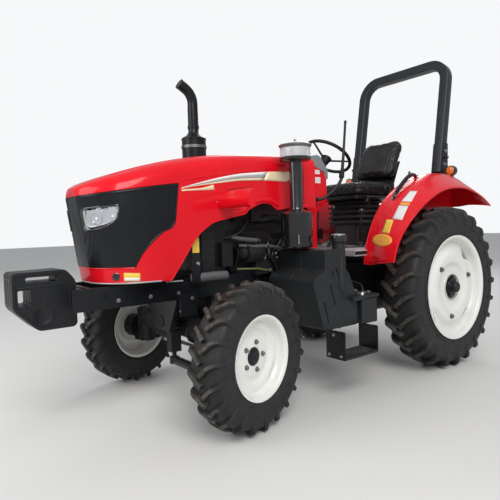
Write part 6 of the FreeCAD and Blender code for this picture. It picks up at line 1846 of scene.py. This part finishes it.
def makeFrontTrim():
    # what is bolted to the frame: bolts, a label plate, a horizontal pipe and the bonnet's seat
    parts = []
    side = 0.288
    for sign in (1, -1):
        for x, z in frontLook["holes"]:
            if z < 0.75:
                parts.append(boltAt("frame_bolt", (x, side * sign, z), (0, sign, 0), 0.0095))
    parts.append(rounded(extruded("label_plate", [(1.868, 0.770), (1.925, 0.770), (1.925, 1.030), (1.868, 1.030)],
                                  0.2603, 0.2643, "black paint"), 0.001))
    parts.append(rounded(extruded("plate_label", [(1.872, 0.936), (1.918, 0.936), (1.918, 1.022), (1.872, 1.022)],
                                  0.2643, 0.2652, "yellow label"), 0.0004, 1))
    parts.append(boltAt("plate_bolt", (1.884, 0.2643, 0.873), (0, 1, 0), 0.010, "bright steel"))
    tube = [(1.674, 0.245, 0.790), (1.760, 0.245, 0.792), (1.860, 0.240, 0.790), (1.905, 0.215, 0.792)]
    parts.append(swept("air_pipe", tube, 0.026, "grey casting", 18, 5))
    box = blockPiece("filter_box", (1.620, 0.2003, 0.838), (1.700, 0.250, 0.985), "black plastic", 0.006, 3)
    parts.append(box)
    for sign in (1, -1):
        strip = [(2.000, 0.2865 * sign, 0.7865), (2.105, 0.289 * sign, 0.7895)]
        parts.append(swept("rail_strip", strip, 0.0035, "grey stripe", 8, 1))
    parts.append(blockPiece("axle_guard", (1.895, 0.250, 0.580), (2.005, 0.258, 0.705), "black paint", 0.002))
    return parts


frameForm = softened("front_frame", 0.003, "black paint")
trim = placed(joined("front_frame_fittings", makeFrontTrim()), toFrame)
settle(trim, "chassis", slot=nodeSlot["front_frame"])

# Engine bay: pipes, hoses, fan, pulley, belt and bolts
engineHoses = [
    ("pipe", [(1.611, 0.205, 1.019), (1.559, 0.235, 1.005), (1.487, 0.240, 0.995), (1.426, 0.235, 0.990)], 0.014, "grey casting"),
    ("pipe", [(1.549, 0.215, 0.962), (1.465, 0.250, 0.952), (1.390, 0.255, 0.952), (1.299, 0.250, 0.944),
              (1.213, 0.245, 0.924), (1.139, 0.240, 0.884)], 0.011, "grey casting"),
    ("hose", [(1.372, 0.235, 0.907), (1.328, 0.250, 0.885), (1.297, 0.255, 0.843), (1.278, 0.256, 0.801),
              (1.250, 0.256, 0.728), (1.238, 0.245, 0.671), (1.220, 0.215, 0.640)], 0.010, "black plastic"),
    ("hose", [(1.340, 0.225, 0.900), (1.300, 0.238, 0.878), (1.272, 0.240, 0.830), (1.262, 0.236, 0.760)], 0.008, "black plastic"),
    ("lead", [(1.561, 0.205, 0.815), (1.494, 0.240, 0.813), (1.426, 0.246, 0.810), (1.370, 0.246, 0.798),
              (1.318, 0.236, 0.792)], 0.006, "yellow hose"),
    ("hose", [(1.640, 0.195, 1.010), (1.582, 0.222, 1.027), (1.533, 0.225, 1.054), (1.490, 0.205, 1.096),
              (1.450, 0.160, 1.120)], 0.013, "black plastic"),
    ("lead", [(1.191, 0.225, 0.979), (1.122, 0.255, 0.968), (1.040, 0.250, 0.955), (0.960, 0.235, 0.950)], 0.007, "bolt steel"),
    ("hose", [(1.740, 0.120, 1.200), (1.640, 0.140, 1.210), (1.540, 0.110, 1.150), (1.500, 0.080, 1.130)], 0.024, "black plastic"),
    ("hose", [(1.740, -0.120, 0.840), (1.650, -0.160, 0.820), (1.560, -0.140, 0.830), (1.500, -0.120, 0.850)], 0.024,
     "black plastic"),
]


def makeEngineTrim():
    parts = []
    for kind, line, radius, finish in engineHoses:
        parts.append(hoseAlong("engine_" + kind, line, radius, finish))
    for n in range(4):
        start = (1.230 + 0.034 * n, 0.205, 0.868)
        line = [start, (start[0] + 0.004, 0.212, 0.905), (1.060 + 0.100 * n + 0.04, 0.200, 0.965),
                (1.060 + 0.100 * n, 0.168, 1.010)]
        parts.append(hoseAlong("fuel_pipe", line, 0.0036, "bright steel", 8))
        nut = [(0.0, 0.009), (0.018, 0.009), (0.020, 0.006), (0.020, 0.0)]
        parts.append(turnedAlong("pipe_nut", (start[0], start[1], 0.855), (0, 0, 1), nut, 6, "bright steel", 20))
    parts.append(blockPiece("intake_box", (1.030, -0.130, 1.100), (1.350, 0.100, 1.258), "engine parts", 0.022, 3))
    for n in range(5):
        parts.append(boltAt("head_bolt", (1.020 + 0.105 * n, 0.150, 0.985), (0, 1, 0), 0.010))
        parts.append(boltAt("head_bolt", (1.020 + 0.105 * n, -0.150, 0.985), (0, -1, 0), 0.010))
    for x, y, z in ((1.206, 0.250, 0.944), (1.361, 0.262, 0.951), (1.318, 0.240, 0.792)):
        parts.append(boltAt("banjo_bolt", (x, y, z), (0, 1, 0), 0.011, "bright steel"))
    for k in range(8):
        parts.append(blockPiece("block_rib", (0.970 + 0.070 * k, 0.1897, 0.660), (0.978 + 0.070 * k, 0.1935, 0.745),
                                "cast iron", 0.001, 1))
    cover = extruded("timing_cover", roundedOutline([(-0.150, 0.560), (0.150, 0.560), (0.170, 0.700), (0.120, 0.900),
                                                     (-0.120, 0.900), (-0.170, 0.700)], 0.04, 5), 1.540, 1.566, "cast iron", "x")
    parts.append(rounded(cover, 0.004))
    for radius, y, z, x in ((0.080, 0.0, 0.640, 1.566), (0.060, 0.0, 0.930, 1.572), (0.034, 0.220, 0.910, 1.546)):
        rim = [(0.0, 0.0), (0.0, radius), (0.006, radius), (0.012, radius - 0.010), (0.018, radius), (0.024, radius),
               (0.024, radius * 0.6), (0.014, radius * 0.55), (0.014, 0.0)]
        parts.append(turnedAlong("pulley", (x, y, z), (1, 0, 0), rim, 32, "cast iron", 30))
    belt = [(0.080, 0.0, 0.640), (0.060, 0.0, 0.930), (0.034, 0.220, 0.910)]
    points = beltPath(belt)
    parts.append(swept("fan_belt", [(1.581, y, z) for y, z in points], 0.006, "black plastic", 6, 1))
    for n in range(6):
        blade = extruded("fan_blade", roundedOutline([(-0.030, 0.045), (0.022, 0.045), (0.046, 0.150), (-0.030, 0.155)],
                                                     0.012, 3), -0.0012, 0.0012, "black plastic", "y")
        stand = Matrix.Translation((1.625, 0, 0.930)) @ Matrix.Rotation(n * math.pi / 3, 4, "X") @ Matrix.Rotation(0.9, 4, "Z")
        parts.append(placed(blade, stand))
    parts.append(turnedAlong("fan_hub", (1.596, 0, 0.930), (1, 0, 0), [(0.0, 0.030), (0.020, 0.050), (0.046, 0.048),
                                                                     (0.052, 0.030), (0.052, 0.0)], 28, "black plastic"))
    return parts


def beltPath(pulleys):
    # the outer tangents round three pulleys, going round in order
    points = []
    for n, (r, y, z) in enumerate(pulleys):
        before, after = pulleys[n - 1], pulleys[(n + 1) % len(pulleys)]
        middle = Vector((sum(p[1] for p in pulleys) / 3, sum(p[2] for p in pulleys) / 3))
        here = Vector((y, z))
        edges = []
        for other in (before, after):
            way = (Vector((other[1], other[2])) - here).normalized()
            normal = Vector((-way.y, way.x))
            if normal.dot(here - middle) < 0:
                normal = -normal
            edges.append(normal)
        for k in range(7):
            out = edges[0].lerp(edges[1], k / 6).normalized()
            points.append(tuple(here + out * (r - 0.004)))
    return points + points[:1]


engineTrim = placed(joined("engine_pipes_and_belt", makeEngineTrim()), toFrame)
settle(engineTrim, "chassis", slot=nodeSlot["engine_fittings"])
softened("engine", 0.006, "cast iron", 3)
softened("engine_fittings", 0.003, "engine parts")


def makeRadiatorTrim():
    # fins on the core, a cap, side tanks with ribs, and the shroud's ring
    parts = []
    fin = blockPiece("fin", (1.8405, -0.200, 0.800), (1.8425, 0.200, 0.8022), "bolt steel", 0)
    parts.append(repeated(fin, 74, step=(0, 0, 0.0062)))
    cap = [(0.0, 0.034), (0.010, 0.034), (0.012, 0.030), (0.022, 0.028), (0.024, 0.022), (0.024, 0.0)]
    parts.append(turnedAlong("radiator_cap", (1.795, 0.0, 1.300), (0, 0, 1), cap, 28, "bright steel"))
    ring = [(-0.002, 0.168), (-0.006, 0.176), (-0.002, 0.182), (0.004, 0.176)]
    parts.append(turnedAlong("shroud_ring", (1.650, 0, 1.005), (1, 0, 0), ring, 48, "black plastic", closed=True))
    for k in range(9):
        z = 0.830 + 0.045 * k
        parts.append(blockPiece("side_rib", (1.752, 0.2395, z), (1.838, 0.2440, z + 0.008), "black plastic", 0.0015))
    return parts


trim = placed(joined("radiator_fins_and_cap", makeRadiatorTrim()), toFrame)
settle(trim, "chassis", slot=nodeSlot["radiator"])
softened("radiator", 0.004, "black plastic")
print("front end and engine bay made")

# Chin: pale lip, latch and a blank label
def makeChinTrim():
    parts = []
    full = cut(bonnetSolid("chin_full", 0.0, bonnetLook), bonnetSolid("chin_back", 0.012, bonnetLook))
    label = [(2.255, 0.807), (2.332, 0.811)], [(2.255, 0.850), (2.332, 0.856)]
    parts.append(sticker("chin_label", smoothRow(label[0], 6), smoothRow(label[1], 6), full, 0.001, "yellow label", 1, 3))
    patch = [(2.258, 0.8095), (2.329, 0.8135)], [(2.258, 0.826), (2.329, 0.830)]
    parts.append(sticker("chin_label", smoothRow(patch[0], 6), smoothRow(patch[1], 6), full, 0.0019, "white label", 1, 2))
    spot = onSide([(2.362, 0.836)], full, 0.0, 1)[0]
    latch = [(-0.004, 0.021), (0.003, 0.021), (0.005, 0.018), (0.0052, 0.009), (0.009, 0.008), (0.009, 0.0)]
    parts.append(turnedAlong("latch", spot, (0.45, 0.9, 0), latch, 28, "black gloss"))
    bpy.data.objects.remove(full)
    rows = [row for row in smoothRow(bonnetLook["rows"], 3) if row[0] > 2.09]
    lip = [(x - 0.7 * lean, share * bonnetLook["half"], 0.8) for x, share, fall, shoulder, lean in rows]
    lip += [(x, -y, z) for x, y, z in lip[::-1]]
    parts.append(swept("chin_lip", lip, 0.0042, "grey stripe", 8, 1))
    rows = [row for row in smoothRow(bonnetLook["rows"], 3) if row[0] > 2.29]
    lip = [(x - 0.57 * lean, share * bonnetLook["half"], 0.879) for x, share, fall, shoulder, lean in rows]
    lip += [(x, -y, z) for x, y, z in lip[::-1]]
    parts.append(swept("chin_ridge", lip, 0.0038, "red paint", 8, 1))
    return parts


trim = placed(joined("chin_latch_and_label", makeChinTrim()), toFrame)
settle(trim, "bonnet", slot=nodeSlot["headlamps"])

# Console: rounded cowl, grey instrument hood and two blank labels
def makeConsoleTrim():
    hood = [(0.900, 1.562), (0.830, 1.574), (0.800, 1.566), (0.722, 1.470), (0.722, 1.408), (0.742, 1.404),
            (0.765, 1.455), (0.872, 1.495), (0.902, 1.520)]
    parts = [rounded(extruded("instrument_hood", hood, -0.213, 0.213, "hood grey"), 0.005)]
    panel = [(0.7392, 1.262), (0.7352, 1.262), (0.7395, 1.410), (0.7435, 1.410)]
    parts.append(rounded(extruded("switch_panel", panel, -0.150, 0.150, "black plastic"), 0.001))
    for y in (-0.10, -0.05, 0.05, 0.10):
        parts.append(turnedAlong("switch", (0.7370, y, 1.330), (-1, 0, 0),
                                 [(0.0, 0.013), (0.006, 0.012), (0.010, 0.008), (0.010, 0.0)], 18, "black gloss"))
    for back, front, low, high in ((0.807, 0.869, 1.437, 1.467), (0.801, 0.884, 1.373, 1.416)):
        label = roundedOutline([(back, low), (front, low), (front, high), (back, high)], 0.004, 3)
        parts.append(extruded("console_label", label, 0.2102, 0.2112, "white label"))
    return parts


softened("console", 0.012, "red paint", 3)
trim = placed(joined("instrument_hood_and_labels", makeConsoleTrim()), toFrame)
settle(trim, "chassis", slot=nodeSlot["console"])
print("console made")

# Roll-over hoop: rounded square tube, its sockets with bolts, and the lamps
hoopLook = {"y": 0.424, "half": 0.038, "footX": -0.380, "footZ": 1.480, "topX": -0.540, "topZ": 2.412, "bend": 0.150}


def makeHoop(look):
    low, high = Vector((look["footX"], 0, look["footZ"])), Vector((look["topX"], 0, look["topZ"]))
    lean = (high - low).normalized()
    line = []
    for k in range(6):
        line.append(low.lerp(high - lean * look["bend"], k / 5) + Vector((0, -look["y"], 0)))
    for k in range(1, 13):
        angle = math.radians(90 * k / 12)
        spot = high - lean * look["bend"] * (1 - math.sin(angle))
        line.append(spot + Vector((0, -look["y"] + look["bend"] * (1 - math.cos(angle)), 0)))
    line += [Vector((p.x, -p.y, p.z)) for p in line[::-1]]
    half, r = look["half"], 0.010
    corners = roundedOutline([(-half, -half), (half, -half), (half, half), (-half, half)], r, 4)
    count = len(corners)
    verts, faces = [], []
    across = lean.cross(Vector((0, 1, 0))).normalized()
    for i, spot in enumerate(line):
        way = (line[min(i + 1, len(line) - 1)] - line[max(i - 1, 0)]).normalized()
        side = across.cross(way).normalized()
        verts += [spot + across * a + side * b for a, b in corners]
    for i in range(len(line) - 1):
        for k in range(count):
            j = (k + 1) % count
            faces.append((i * count + k, i * count + j, (i + 1) * count + j, (i + 1) * count + k))
    faces += [tuple(range(count)), tuple((len(line) - 1) * count + k for k in range(count))]
    return [meshPiece("hoop", verts, faces, "hoop paint", 30)]


grouped("rollover_hoop_tube", makeHoop(hoopLook), "chassis", "rollover_hoop")


def makeHoopTrim(look):
    parts = []
    for sign in (1, -1):
        for z, x in ((1.545, -0.391), (1.655, -0.410)):
            for out in (1, -1):
                y = look["y"] * sign + out * (look["half"] + 0.0083)
                parts.append(boltAt("hoop_bolt", (x, y, z), (0, out, 0), 0.013, "bright steel"))
        knob = [(0.0, 0.005), (0.014, 0.005), (0.015, 0.012), (0.028, 0.013), (0.032, 0.009), (0.032, 0.0)]
        parts.append(turnedAlong("hoop_knob", (-0.400, (look["y"] + look["half"] + 0.0083) * sign, 1.600), (0, sign, 0),
                                 knob, 18, "black gloss"))
    return parts


softened("hoop_brackets", 0.0025, "black paint")
trim = placed(joined("hoop_bolts_and_knobs", makeHoopTrim(hoopLook)), toFrame)
settle(trim, "chassis", slot=nodeSlot["hoop_brackets"])

# Rear lamps: a foot, a round housing, and lenses to the front and the back
angle = math.radians(117)
lampSpot = Vector((0.890 * math.cos(angle), 0.529, 0.592 + 0.890 * math.sin(angle) + 0.100))


def makeRearLamps():
    parts = []
    for sign in (1, -1):
        x, y, z = lampSpot.x, lampSpot.y * sign, lampSpot.z
        housing = [(-0.030, 0.0), (-0.030, 0.030), (-0.027, 0.034), (-0.016, 0.041), (-0.008, 0.042), (0.024, 0.042),
                   (0.028, 0.040), (0.030, 0.036), (0.030, 0.0)]
        parts.append(turnedAlong("lamp_housing", (x, y, z), (1, 0, 0), housing, 36, "black gloss", 30))
        lens = [(0.0, 0.034), (0.004, 0.031), (0.006, 0.018), (0.0065, 0.0)]
        parts.append(turnedAlong("lamp_lens", (x + 0.0301, y, z), (1, 0, 0), lens, 32, "orange lens", 60))
        parts.append(turnedAlong("lamp_lens", (x - 0.0301, y, z), (-1, 0, 0),
                                 [(0.0, 0.028), (0.003, 0.025), (0.004, 0.012), (0.004, 0.0)], 32, "red lens", 60))
        foot = [(x - 0.011, z - 0.118), (x + 0.011, z - 0.118), (x + 0.011, z - 0.036), (x - 0.011, z - 0.036)]
        parts.append(rounded(extruded("lamp_foot", foot, y - 0.012, y + 0.012, "black paint"), 0.002))
    return parts


grouped("rear_lamp_pair", makeRearLamps(), "chassis", "rear_lamps")

# Grab rails: bent bars with rubber grips and flat feet on the fenders
# Columns: radius from the rear axle, degrees, place outwards of the fender's inner side
railTable = [(0.770, 57, 0.091), (0.792, 57.5, 0.091), (0.806, 60, 0.090), (0.824, 66, 0.086), (0.845, 72, 0.080),
             (0.856, 77, 0.072), (0.846, 80.5, 0.066), (0.826, 82, 0.060)]


def makeGrabRails():
    parts = []
    for sign in (1, -1):
        line = []
        for r, degrees, out in railTable:
            turn = math.radians(degrees)
            line.append((r * math.cos(turn), sign * (0.474 + out), 0.592 + r * math.sin(turn)))
        parts.append(swept("grab_rail", line, 0.0120, "black gloss", 16, 5))
        parts.append(swept("grab_grip", line[2:6], 0.0150, "black plastic", 16, 6))
        for spot, degrees in ((line[0], 57), (line[-1], 82)):
            way = (math.cos(math.radians(degrees)), 0, math.sin(math.radians(degrees)))
            parts.append(turnedAlong("rail_foot", spot, way, [(0.008, 0.0), (0.008, 0.022), (0.013, 0.022), (0.016, 0.012)],
                                     20, "black gloss"))
    return parts


grouped("grab_rail_pair", makeGrabRails(), "chassis", "grab_rails")
print("hoop, lamps and rails made")

# The castings and the linkage keep their CAD forms, with rounded edges and fitting finishes
# Columns: node, edge width, finish
softTable = [
    ("transmission_case", 0.010, "cast iron"), ("rear_axle_tubes", 0.006, "cast iron"), ("front_axle", 0.006, "cast iron"),
    ("steer_knuckle_left", 0.005, "cast iron"), ("steer_knuckle_right", 0.005, "cast iron"),
    ("tie_rod", 0.002, "bright steel"), ("steering_cylinder", 0.002, "black paint"),
    ("steering_ram_rod", 0.0015, "chrome"), ("front_drive_shaft", 0.003, "black paint"),
    ("lift_arms", 0.004, "cast iron"), ("lift_rods", 0.002, "black paint"), ("lower_link_left", 0.003, "black paint"),
    ("lower_link_right", 0.003, "black paint"), ("top_link", 0.002, "black paint"), ("linkage_mounts", 0.003, "cast iron"),
    ("drawbar", 0.003, "black paint"), ("pto_shaft", 0.001, "bright steel"),
]
for node, width, finish in softTable:
    softened(node, width, finish)
print("castings and linkage made")
